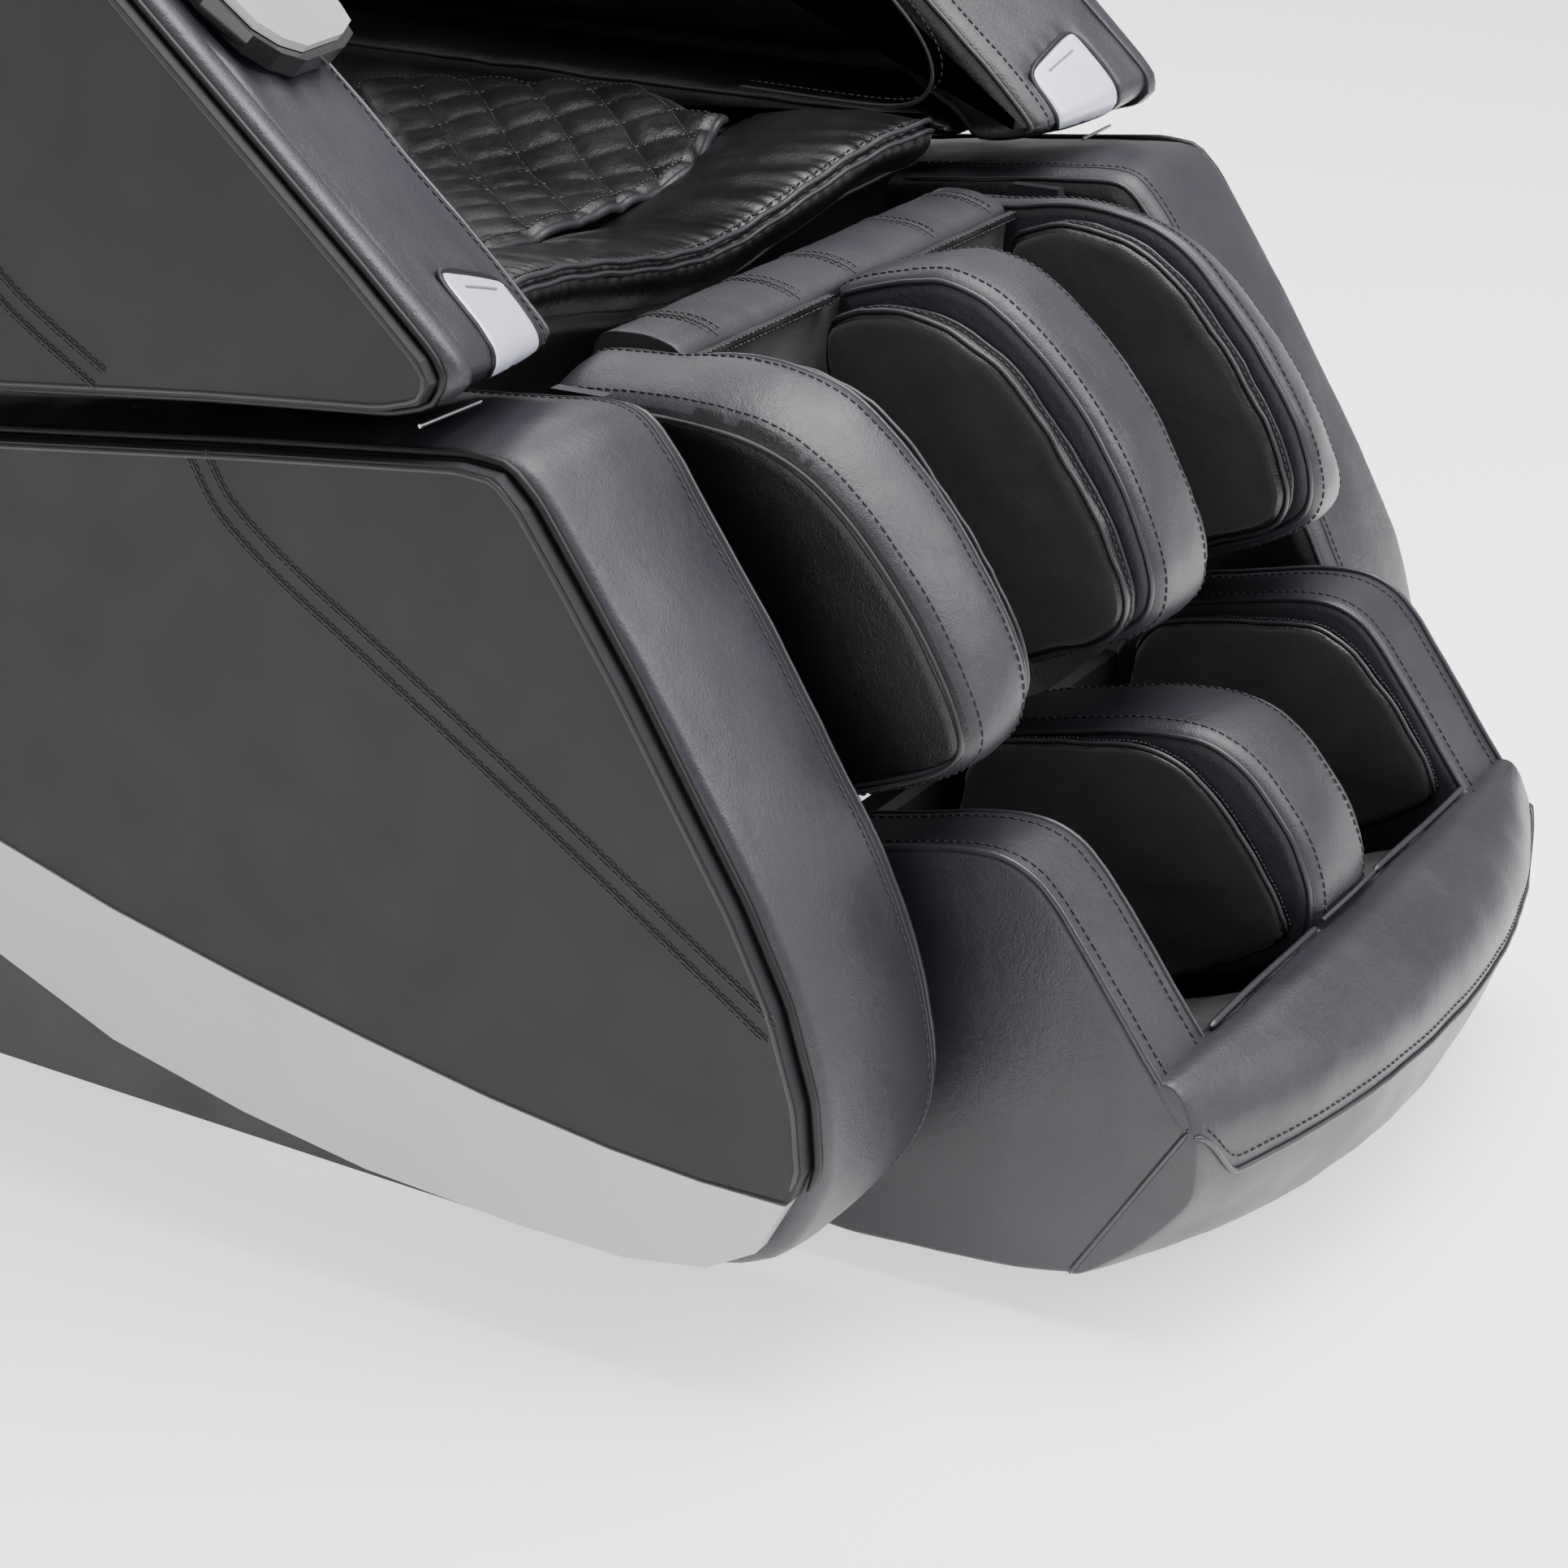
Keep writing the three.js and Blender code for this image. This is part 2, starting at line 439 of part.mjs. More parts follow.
// rear wall and yoke in one, with two guide blocks for the footrest rods
const rodY = (z) => -481 + (z - 130) * LEG_DIR[0] / LEG_DIR[1];
const rodAngle = Math.atan2(-LEG_DIR[0], -LEG_DIR[1]);
function rod(x, z0, z1, r, n = 20) {
  const len = (z1 - z0) / Math.cos(rodAngle);
  const g = new THREE.CylinderGeometry(r, r, len, n);
  g.rotateX(Math.PI / 2 - rodAngle);
  g.translate(x, (rodY(z0) + rodY(z1)) / 2, (z0 + z1) / 2);
  return g;
}
{
  const yoke = extrudeX([
    [-371, 402], [-368, 440], [-369, 466], [-378, 477], [-402, 478], [-421, 474], [-428, 467], [-424.5, 452], [-424, 424], [-496.5, 254], [-490, 240], [-455, 235],
  ], -187, 187, [circle(HINGE_LEG[0], HINGE_LEG[1], HINGE_LEG_R + 0.4)]);
  const guide = [[-456, 260], [-434, 306], [-383, 284], [-404, 236]];
  add('calf_back', cut(
    join(yoke, extrudeX(guide, 102, 138), extrudeX(guide, -138, -102)),
    rod(120, 150, 380, 8.5), rod(-120, 150, 380, 8.5),
  ), LEATHER);
}
const padD = [
  [-434, 423], [-434, 452], [-444, 462], [-470, 469], [-496, 468], [-520, 462], [-545, 446], [-568, 421], [-590, 392], [-605, 369], [-617, 347], [-624, 326],
  [-622, 308], [-610, 298], [-504, 260],
];
for (const [tag, side] of SIDES) {
  add('calf_airbag_outer_' + tag, slab(padD, side, 164, 187), FABRIC);
  add('calf_airbag_inner_' + tag, slab(padD, side, CALF_DIV + GAP, 58), FABRIC);
}

// ================================================================ footrest, slides out of the legrest
const footSide = [
  [-532, 236], [-573, 245], [-638, 257], [-667, 248], [-700, 207], [-741, 152], [-753, 130], [-690, 33], [-650, 23], [-536, 17], [-515, 30], [-490, 110], [-500, 200],
];
for (const [tag, side] of SIDES) {
  const bore = side > 0 ? cylX(6.5, 180, 212, FOOT_ROLLER.y, FOOT_ROLLER.z, 16) : cylX(6.5, -212, -180, FOOT_ROLLER.y, FOOT_ROLLER.z, 16);
  add('foot_side_' + tag, cut(slab(footSide, side, FOOT_IN, FOOT_OUT), bore), LEATHER);
}
add('foot_divider', extrudeX([
  [-520, 228], [-550, 238], [-588, 247], [-625, 255], [-658, 257], [-679, 251], [-698, 239], [-714, 221], [-730, 198], [-741, 165],
  [-733, 119.5], [-528, 43.8], [-514, 120], [-517, 200],
], -FOOT_DIV, FOOT_DIV), LEATHER);
{
  const stations = [];
  for (const x of [-250, -225, -190, -145, -95, -45, 0, 45, 95, 145, 190, 225, 250]) {
    const k = Math.pow(Math.abs(x) / 250, 2.2);
    stations.push({
      x, pts: [
        [-742, 153], [-754.5, 130], [-691, 31.5],
        [-765 + 68 * k, 27 + 4 * k], [-795 + 36 * k, 70 + 20 * k], [-805 + 46 * k, 119 + 9 * k], [-796 + 42 * k, 134 + 5 * k], [-759 + 14 * k, 160 - 5 * k],
      ],
    });
  }
  add('toe_panel', loftX(stations), LEATHER);
}
add('foot_sole', extrudeX([[-733, 118], [-733, 107], [-545, 37.6], [-542, 47.5]], -187.8, 187.8), FABRIC);
{
  const post = [[-652, 30], [-652, 62], [-646, 67], [-634, 65], [-628, 57], [-628, 30]];
  const parts = [extrudeX([
    [-687, 35], [-650, 25], [-536, 19], [-516, 32], [-491, 110], [-501, 200], [-509, 199], [-499.5, 111], [-524, 35], [-540, 27], [-650, 33], [-682, 42],
  ], -187.8, 187.8)];
  for (const [, side] of SIDES) {
    parts.push(slab(post, side, 42, 50, [circle(FOOT_ROLLER.y, FOOT_ROLLER.z, 6.5, 16)]));
    const xc = side * 120;
    parts.push(extrudeX([[-503, 112], [-503, 160], [-470, 160], [-474, 112]], xc - 12, xc + 12));
    parts.push(rod(xc, 132, 352, 8));
  }
  add('foot_base', join(...parts), SHELL);
}
for (const [tag, side] of SIDES) {
  const p = [[0, 44], [6, 44], [6, 60], [12, 60], [FOOT_ROLLER.r, 68], [FOOT_ROLLER.r, 100], [13, 108], [13, 120], [FOOT_ROLLER.r, 128], [FOOT_ROLLER.r, 158], [12, 166], [6, 166], [6, 205], [0, 205]];
  const pts = (side > 0 ? p : p.map(([r, x]) => [r, -x]).reverse()).map(([r, x]) => new THREE.Vector2(r, x));
  const g = new THREE.LatheGeometry(pts, 20);
  g.rotateZ(-Math.PI / 2);
  g.translate(0, FOOT_ROLLER.y, FOOT_ROLLER.z);
  add('foot_roller_' + tag, g, POLYMER);
}

export default chair;
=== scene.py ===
import json, math, random
import bpy, bmesh
import numpy as np
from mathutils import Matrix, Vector, noise

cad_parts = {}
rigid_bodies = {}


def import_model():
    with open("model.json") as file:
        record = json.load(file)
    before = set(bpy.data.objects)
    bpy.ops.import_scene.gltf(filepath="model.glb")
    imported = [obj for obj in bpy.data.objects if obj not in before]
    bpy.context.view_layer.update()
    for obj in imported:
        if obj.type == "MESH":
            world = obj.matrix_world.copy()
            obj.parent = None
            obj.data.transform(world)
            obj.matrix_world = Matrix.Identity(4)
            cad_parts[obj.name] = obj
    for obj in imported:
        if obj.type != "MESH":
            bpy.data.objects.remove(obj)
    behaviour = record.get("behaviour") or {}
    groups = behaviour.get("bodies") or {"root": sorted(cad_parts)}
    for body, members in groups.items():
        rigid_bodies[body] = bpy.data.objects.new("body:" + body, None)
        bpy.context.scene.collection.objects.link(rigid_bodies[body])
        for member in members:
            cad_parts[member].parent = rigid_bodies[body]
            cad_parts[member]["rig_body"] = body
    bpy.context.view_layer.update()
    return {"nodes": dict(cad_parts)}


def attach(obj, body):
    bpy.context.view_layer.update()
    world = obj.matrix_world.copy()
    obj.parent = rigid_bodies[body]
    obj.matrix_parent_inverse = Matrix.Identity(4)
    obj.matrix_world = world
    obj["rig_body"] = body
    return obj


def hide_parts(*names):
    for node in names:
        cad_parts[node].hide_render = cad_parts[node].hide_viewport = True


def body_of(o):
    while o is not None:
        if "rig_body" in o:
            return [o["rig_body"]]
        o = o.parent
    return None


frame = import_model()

NODES = frame["nodes"]
BODY = {}
for _n, _o in NODES.items():
    _b = body_of(_o)
    BODY[_n] = _b[0] if _b else None
MM = 0.001
rng = random.Random(7)


# ---------------------------------------------------------------- materials
def lin(h):
    c = [int(h[i:i + 2], 16) / 255 for i in (0, 2, 4)]
    return [x / 12.92 if x <= 0.04045 else ((x + 0.055) / 1.055) ** 2.4 for x in c] + [1.0]


def nd(nt, kind, ins=None, **kw):
    n = nt.nodes.new(kind)
    for k, v in kw.items():
        setattr(n, k, v)
    for k, v in (ins or {}).items():
        n.inputs[k].default_value = v
    return n


def new_mat(name):
    m = bpy.data.materials.new(name)
    m.use_nodes = True
    nt = m.node_tree
    nt.nodes.clear()
    out = nt.nodes.new("ShaderNodeOutputMaterial")
    b = nt.nodes.new("ShaderNodeBsdfPrincipled")
    nt.links.new(b.outputs[0], out.inputs[0])
    tc = nt.nodes.new("ShaderNodeTexCoord")
    return m, nt, b, tc.outputs["Object"]


def ramp(nt, fac, stops):
    r = nt.nodes.new("ShaderNodeValToRGB")
    e = r.color_ramp.elements
    e[0].position, e[0].color = stops[0]
    e[1].position, e[1].color = stops[-1]
    for p, c in stops[1:-1]:
        x = e.new(p)
        x.color = c
    nt.links.new(fac, r.inputs[0])
    return r.outputs[0]


def rough_map(nt, vec, lo, hi, scale):
    n = nd(nt, "ShaderNodeTexNoise", {"Scale": scale, "Detail": 4})
    nt.links.new(vec, n.inputs["Vector"])
    r = nd(nt, "ShaderNodeMapRange", {"From Min": 0.3, "From Max": 0.7, "To Min": lo, "To Max": hi})
    nt.links.new(n.outputs[0], r.inputs["Value"])
    return r.outputs[0]


def leather(name, c1, c2, rough=0.4, grain=0.25, crease=0.35, spec=0.5, cscale=34, gscale=520, coat=0.0):
    m, nt, b, vec = new_mat(name)
    L = nt.links.new
    big = nd(nt, "ShaderNodeTexNoise", {"Scale": 6.0, "Detail": 5, "Roughness": 0.6})
    L(vec, big.inputs["Vector"])
    L(ramp(nt, big.outputs[0], [(0.32, lin(c1)), (0.7, lin(c2))]), b.inputs["Base Color"])
    cr = nd(nt, "ShaderNodeTexNoise", {"Scale": cscale, "Detail": 6, "Roughness": 0.7, "Distortion": 0.35})
    L(vec, cr.inputs["Vector"])
    crv = ramp(nt, cr.outputs[0], [(0.38, (0.65, 0.65, 0.65, 1)), (0.47, (0.35, 0.35, 0.35, 1)), (0.5, (0, 0, 0, 1)), (0.53, (0.4, 0.4, 0.4, 1)), (0.66, (0.8, 0.8, 0.8, 1))])
    b1 = nd(nt, "ShaderNodeBump", {"Strength": crease, "Distance": 0.0009})
    L(crv, b1.inputs["Height"])
    gr = nd(nt, "ShaderNodeTexVoronoi", {"Scale": gscale, "Randomness": 1.0}, feature="DISTANCE_TO_EDGE")
    L(vec, gr.inputs["Vector"])
    grv = ramp(nt, gr.outputs["Distance"], [(0.0, (0, 0, 0, 1)), (0.22, (1, 1, 1, 1))])
    b2 = nd(nt, "ShaderNodeBump", {"Strength": grain, "Distance": 0.00022})
    L(grv, b2.inputs["Height"])
    L(b1.outputs[0], b2.inputs["Normal"])
    L(b2.outputs[0], b.inputs["Normal"])
    L(rough_map(nt, vec, rough - 0.05, rough + 0.07, 16), b.inputs["Roughness"])
    b.inputs["Specular IOR Level"].default_value = spec
    b.inputs["Coat Weight"].default_value = coat
    b.inputs["Coat Roughness"].default_value = 0.35
    return m


def plain(name, c1, c2, rough=(0.4, 0.5), metal=0.0, bump=0.12, bscale=350, spec=0.5, coat=0.0, nscale=9, bdist=0.0002):
    m, nt, b, vec = new_mat(name)
    L = nt.links.new
    big = nd(nt, "ShaderNodeTexNoise", {"Scale": nscale, "Detail": 5, "Roughness": 0.6})
    L(vec, big.inputs["Vector"])
    L(ramp(nt, big.outputs[0], [(0.3, lin(c1)), (0.7, lin(c2))]), b.inputs["Base Color"])
    fine = nd(nt, "ShaderNodeTexNoise", {"Scale": bscale, "Detail": 3})
    L(vec, fine.inputs["Vector"])
    bp = nd(nt, "ShaderNodeBump", {"Strength": bump, "Distance": bdist})
    L(fine.outputs[0], bp.inputs["Height"])
    L(bp.outputs[0], b.inputs["Normal"])
    L(rough_map(nt, vec, rough[0], rough[1], 22), b.inputs["Roughness"])
    b.inputs["Metallic"].default_value = metal
    b.inputs["Specular IOR Level"].default_value = spec
    b.inputs["Coat Weight"].default_value = coat
    b.inputs["Coat Roughness"].default_value = 0.08
    return m


def brushed(name, c1, c2, rough=(0.26, 0.36), stretch=(6, 6, 240), bump=0.06):
    m, nt, b, vec = new_mat(name)
    L = nt.links.new
    mp = nd(nt, "ShaderNodeMapping", {"Scale": stretch})
    L(vec, mp.inputs["Vector"])
    n = nd(nt, "ShaderNodeTexNoise", {"Scale": 6.0, "Detail": 6, "Roughness": 0.7})
    L(mp.outputs[0], n.inputs["Vector"])
    L(ramp(nt, n.outputs[0], [(0.3, lin(c1)), (0.7, lin(c2))]), b.inputs["Base Color"])
    bp = nd(nt, "ShaderNodeBump", {"Strength": bump, "Distance": 0.0001})
    L(n.outputs[0], bp.inputs["Height"])
    L(bp.outputs[0], b.inputs["Normal"])
    L(rough_map(nt, vec, rough[0], rough[1], 30), b.inputs["Roughness"])
    b.inputs["Metallic"].default_value = 0.9
    return m


def fabric(name, c1, c2, scale=420, rough=(0.82, 0.95)):
    m, nt, b, vec = new_mat(name)
    L = nt.links.new
    big = nd(nt, "ShaderNodeTexNoise", {"Scale": 24, "Detail": 5, "Roughness": 0.65})
    L(vec, big.inputs["Vector"])
    L(ramp(nt, big.outputs[0], [(0.3, lin(c1)), (0.7, lin(c2))]), b.inputs["Base Color"])
    h = None
    for axis in ("X", "Y", "Z"):
        w = nd(nt, "ShaderNodeTexWave", {"Scale": scale, "Distortion": 1.2, "Detail": 1}, bands_direction=axis)
        L(vec, w.inputs["Vector"])
        if h is None:
            h = w.outputs["Fac"]
        else:
            a = nd(nt, "ShaderNodeMath", operation="MULTIPLY")
            L(h, a.inputs[0])
            L(w.outputs["Fac"], a.inputs[1])
            h = a.outputs[0]
    bp = nd(nt, "ShaderNodeBump", {"Strength": 0.35, "Distance": 0.0004})
    L(h, bp.inputs["Height"])
    L(bp.outputs[0], b.inputs["Normal"])
    L(rough_map(nt, vec, rough[0], rough[1], 30), b.inputs["Roughness"])
    b.inputs["Sheen Weight"].default_value = 0.25
    b.inputs["Sheen Roughness"].default_value = 0.5
    b.inputs["Specular IOR Level"].default_value = 0.2
    return m


GREY = leather("m_grey_leather", "1a1a1f", "212128", rough=0.42, grain=0.2, crease=0.12)
GREYW = leather("m_grey_leather_creased", "1a1a1f", "222229", rough=0.42, grain=0.22, crease=0.2, cscale=48)
BLACK = leather("m_black_leather", "08080a", "0e0e10", rough=0.33, grain=0.22, crease=0.2)
MAT = leather("m_quilted_leather", "09090b", "101012", rough=0.37, grain=0.3, crease=0.3, cscale=60)
PIPE = leather("m_piping", "1b1c1f", "27282c", rough=0.36, grain=0.1, crease=0.1)
THREAD = plain("m_thread", "0d0d0f", "1d1d20", rough=(0.5, 0.65), bump=0.3, bscale=1500)
FABRIC = fabric("m_black_fabric", "151517", "1f1f22")
PANEL = plain("m_side_panel", "19171b", "1d1b1f", rough=(0.58, 0.66), bump=0.2, bscale=1100, spec=0.3, nscale=5)
COVER = plain("m_base_cover", "201f21", "262527", rough=(0.5, 0.62), bump=0.25, bscale=900, spec=0.35)
SILVER = plain("m_silver_trim", "9c9c9f", "a5a5a8", rough=(0.4, 0.47), metal=0.35, bump=0.05, bscale=1500, nscale=3)
CAPM = plain("m_cap_silver", "bfc0d2", "cfd0de", rough=(0.34, 0.44), metal=0.35, bump=0.05, bscale=1800, nscale=14)
SHELLM = plain("m_black_shell", "121214", "19191b", rough=(0.42, 0.55), bump=0.25, bscale=900)
GLOSS = plain("m_gloss_black", "050506", "09090b", rough=(0.08, 0.16), bump=0.01, bscale=300, coat=0.6)
GASKET = plain("m_gasket", "060607", "0c0c0e", rough=(0.4, 0.55), bump=0.2, bscale=900, spec=0.3)
STEEL = plain("m_frame_steel", "1c1d20", "26272b", rough=(0.36, 0.5), metal=0.35, bump=0.25, bscale=500)
SHAFT = brushed("m_shaft_steel", "8d8f93", "b5b7ba")
RUBBER = plain("m_rubber", "101011", "1b1b1c", rough=(0.7, 0.86), bump=0.4, bscale=700, spec=0.25)
ROLLER = plain("m_roller", "26262a", "34343a", rough=(0.45, 0.6), bump=0.2, bscale=700)
CHROME = brushed("m_chrome", "c6c8cc", "e0e1e4", rough=(0.12, 0.2))
ZIP = plain("m_zipper", "151517", "232327", rough=(0.35, 0.5), bump=0.3, bscale=1400, metal=0.2)
TICK = plain("m_tick", "5d5e66", "6c6d76", rough=(0.4, 0.5), bump=0.1)


# ---------------------------------------------------------------- mesh helpers (millimetres in, metres out)
def make(name, verts, faces, mat, body, smooth=40.0, pad=None, node=None):
    me = bpy.data.meshes.new(name)
    me.from_pydata([tuple(float(c) * MM for c in v) for v in verts], [], [tuple(int(i) for i in f) for f in faces])
    bm = bmesh.new()
    bm.from_mesh(me)
    bmesh.ops.remove_doubles(bm, verts=bm.verts, dist=1e-6)
    bmesh.ops.recalc_face_normals(bm, faces=bm.faces)
    bm.to_mesh(me)
    bm.free()
    me.shade_smooth()
    if smooth:
        me.set_sharp_from_angle(angle=math.radians(smooth))
    o = bpy.data.objects.new(name, me)
    bpy.context.scene.collection.objects.link(o)
    me.materials.append(mat)
    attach(o, body)
    if node:
        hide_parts(*([node] if isinstance(node, str) else node))
    return o


def arr(p):
    return np.array(p, float)


def densify(p, step, closed=True):
    p = arr(p)
    out = []
    n = len(p)
    for i in range(n if closed else n - 1):
        a, b = p[i], p[(i + 1) % n]
        k = max(1, int(math.ceil(np.linalg.norm(b - a) / step)))
        for j in range(k):
            out.append(a + (b - a) * j / k)
    if not closed:
        out.append(p[-1])
    return arr(out)


def chaikin(p, n=2, closed=True):
    p = arr(p)
    for _ in range(n):
        if closed:
            q = np.roll(p, -1, axis=0)
            a, b = 0.75 * p + 0.25 * q, 0.25 * p + 0.75 * q
            r = np.empty((2 * len(a), p.shape[1]))
            r[0::2], r[1::2] = a, b
            p = r
        else:
            a, b = 0.75 * p[:-1] + 0.25 * p[1:], 0.25 * p[:-1] + 0.75 * p[1:]
            r = np.empty((2 * len(a), p.shape[1]))
            r[0::2], r[1::2] = a, b
            p = np.vstack([p[:1], r, p[-1:]])
    return p


def resample(p, step, closed=True):
    p = arr(p)
    q = np.vstack([p, p[:1]]) if closed else p
    d = np.linalg.norm(np.diff(q, axis=0), axis=1)
    s = np.concatenate([[0], np.cumsum(d)])
    n = max(3, int(round(s[-1] / step)))
    t = np.linspace(0, s[-1], n + 1)
    r = np.stack([np.interp(t, s, q[:, k]) for k in range(q.shape[1])], axis=1)
    return r[:-1] if closed else r


def outward(p):
    """Unit outward normals of a closed outline in its own plane."""
    p = arr(p)
    area = 0.5 * np.sum(p[:, 0] * np.roll(p[:, 1], -1) - np.roll(p[:, 0], -1) * p[:, 1])
    t = np.roll(p, -2, axis=0) - np.roll(p, 2, axis=0)
    t /= np.maximum(np.linalg.norm(t, axis=1, keepdims=True), 1e-9)
    n = np.stack([t[:, 1], -t[:, 0]], axis=1)
    return n if area > 0 else -n


def edge_profile(xa, xb, ra, rb, crown, step=7.0, na=5):
    """(x, inset) pairs across a padded band: rounded at both ends, crowned between."""
    out = []
    w = xb - xa
    for k in range(na + 1):
        th = math.pi / 2 * k / na
        out.append((xa + ra * (1 - math.cos(th)), ra * (1 - math.sin(th))))
    m = max(2, int((w - ra - rb) / step))
    for k in range(1, m):
        out.append((xa + ra + (w - ra - rb) * k / m, 0.0))
    for k in range(na + 1):
        th = math.pi / 2 * (1 - k / na)
        out.append((xb - rb * (1 - math.cos(th)), rb * (1 - math.sin(th))))
    return [(x, d + crown * (2 * (x - xa) / w - 1) ** 2) for x, d in out]


def wr(x, y, z, amp, scale, seed=0.0):
    """Soft wrinkle field in millimetres."""
    v = Vector((x * scale + seed, y * scale - seed, z * scale + 2 * seed))
    return amp * noise.fractal(v, 1.0, 2.0, 3)


class Wrap:
    """A padded solid: a closed outline in the plane of travel, carried across the width with rounded edges and a crown."""

    def __init__(self, outline, xa, xb, side=1, ra=8, rb=8, crown=3, soft=2, step=7.0, wrinkle=0.0, wscale=0.03, frame_of=None, skip=None, presoft=0):
        o = arr(outline)
        if presoft:
            o = chaikin(o, presoft)
        o = densify(o, max(step * 1.6, 10))
        o = chaikin(o, soft)
        self.P = resample(o, step)
        self.N = outward(self.P)
        for _ in range(2):
            self.N = self.N + 0.6 * (np.roll(self.N, 1, axis=0) + np.roll(self.N, -1, axis=0))
            self.N /= np.linalg.norm(self.N, axis=1, keepdims=True)
        self.prof = edge_profile(xa, xb, ra, rb, crown, step)
        self.side = side
        self.xa, self.xb = xa, xb
        self.wrinkle, self.wscale = wrinkle, wscale
        self.frame_of = frame_of or (lambda x, a, b: (x, a, b))

    def inset(self, x):
        xs = [q[0] for q in self.prof]
        ds = [q[1] for q in self.prof]
        return float(np.interp(x, xs, ds))

    def point(self, i, x, lift=0.0):
        d = self.inset(x) - lift
        q = self.P[i % len(self.P)] - self.N[i % len(self.P)] * d
        if self.wrinkle:
            q = q + self.N[i % len(self.P)] * wr(x * self.side, q[0], q[1], self.wrinkle, self.wscale)
        return self.frame_of(x * self.side, q[0], q[1])

    def build(self, name, mat, body, dome=(0, 0), caps=(8, 8), **kw):
        M = len(self.P)
        verts, faces = [], []
        rings = []
        for x, _ in self.prof:
            rings.append([self.point(i, x) for i in range(M)])
        for r in rings:
            verts.extend(r)
        for j in range(len(rings) - 1):
            for i in range(M):
                a, b = j * M + i, j * M + (i + 1) % M
                faces.append((a, b, b + M, a + M))
        for end, sgn in ((0, -1), (len(rings) - 1, 1)):
            x = self.prof[end][0]
            d0 = self.prof[end][1]
            base = self.P - self.N * d0
            if dome[0 if end == 0 else 1] is None:
                faces.append(tuple(range(end * M, end * M + M)))
                continue
            h = dome[0 if end == 0 else 1]
            c = base.mean(axis=0)
            prev = end * M
            for f in (0.94, 0.86, 0.74, 0.6, 0.42, 0.22):
                q = c + (base - c) * f
                dx = h * (1 - f ** 2.2)
                start = len(verts)
                for i in range(M):
                    w = wr(x, q[i][0], q[i][1], self.wrinkle, self.wscale) if self.wrinkle else 0
                    verts.append(self.frame_of((x + sgn * (dx + w * min(1, h / 4))) * self.side, q[i][0], q[i][1]))
                for i in range(M):
                    a, b = prev + i, prev + (i + 1) % M
                    e, g = start + i, start + (i + 1) % M
                    faces.append((a, b, g, e))
                prev = start
            verts.append(self.frame_of((x + sgn * h) * self.side, c[0], c[1]))
            for i in range(M):
                faces.append((prev + i, prev + (i + 1) % M, len(verts) - 1))
        return make(name, verts, faces, mat, body, **kw)

    def run(self, cond):
        """Longest run of outline points for which cond(y, z) holds."""
        M = len(self.P)
        ok = [bool(cond(*p)) for p in self.P]
        if all(ok):
            return list(range(M + 1))
        best, cur = [], []
        for k in range(2 * M):
            if ok[k % M]:
                cur.append(k % M)
                if len(cur) > len(best) and len(cur) <= M:
                    best = list(cur)
            else:
                cur = []
        return best

    def line(self, x, cond=None, lift=0.3):
        idx = self.run(cond) if cond else list(range(len(self.P) + 1))
        return [self.point(i, x, lift) for i in idx]


def smooth_path(p, step=3.0):
    p = chaikin(arr(p), 2, closed=False)
    return resample(p, step, closed=False)


def tube(name, pts, r, mat, body, closed=False, sides=8, taper=True, flat=1.0, **kw):
    p = arr(pts)
    if closed and np.linalg.norm(p[0] - p[-1]) < 1e-6:
        p = p[:-1]
    n = len(p)
    t = (np.roll(p, -1, axis=0) - np.roll(p, 1, axis=0)) if closed else np.gradient(p, axis=0)
    t /= np.maximum(np.linalg.norm(t, axis=1, keepdims=True), 1e-9)
    up = arr([0.0, 0.0, 1.0]) if abs(t[0][2]) < 0.9 else arr([1.0, 0, 0])
    verts, faces = [], []
    prev = up - t[0] * np.dot(up, t[0])
    prev /= np.linalg.norm(prev)
    for i in range(n):
        u = prev - t[i] * np.dot(prev, t[i])
        u /= max(np.linalg.norm(u), 1e-9)
        v = np.cross(t[i], u)
        prev = u
        rr = r
        if taper and not closed and i in (0, n - 1):
            rr = r * 0.35
        for k in range(sides):
            a = 2 * math.pi * k / sides
            verts.append(p[i] + rr * (u * math.cos(a) + v * math.sin(a) * flat))
    m = n if closed else n - 1
    for i in range(m):
        for k in range(sides):
            a, b = i * sides + k, i * sides + (k + 1) % sides
            c, d = ((i + 1) % n) * sides + k, ((i + 1) % n) * sides + (k + 1) % sides
            faces.append((a, b, d, c))
    if not closed:
        faces.append(tuple(range(sides)))
        faces.append(tuple((n - 1) * sides + k for k in range(sides)))
    return make(name, verts, faces, mat, body, smooth=60, **kw)


def stitches(name, lines, body, pitch=5.2, length=3.7, r=0.55, mat=None, **kw):
    """Rows of short thread stitches lying along the given lines."""
    verts, faces = [], []
    for pts in lines:
        p = resample(arr(pts), 1.0, closed=False)
        n = len(p)
        k = 1.0
        while k + length < n - 1:
            a, b = p[int(k)], p[min(n - 1, int(round(k + length)))]
            d = b - a
            L = np.linalg.norm(d)
            if L > 0.2:
                d = d / L
                u = np.cross(d, arr([0.31, 0.52, 0.79]))
                u /= max(np.linalg.norm(u), 1e-9)
                v = np.cross(d, u)
                s = len(verts)
                verts.append(a)
                for f in (0.22, 0.78):
                    for q in range(5):
                        an = 2 * math.pi * q / 5
                        verts.append(a + d * L * f + r * (u * math.cos(an) + v * math.sin(an)))
                verts.append(b)
                for q in range(5):
                    w = (q + 1) % 5
                    faces.append((s, s + 1 + q, s + 1 + w))
                    faces.append((s + 1 + q, s + 6 + q, s + 6 + w, s + 1 + w))
                    faces.append((s + 11, s + 6 + w, s + 6 + q))
            k += pitch
    return make(name, verts, faces, mat or THREAD, body, smooth=None, **kw)


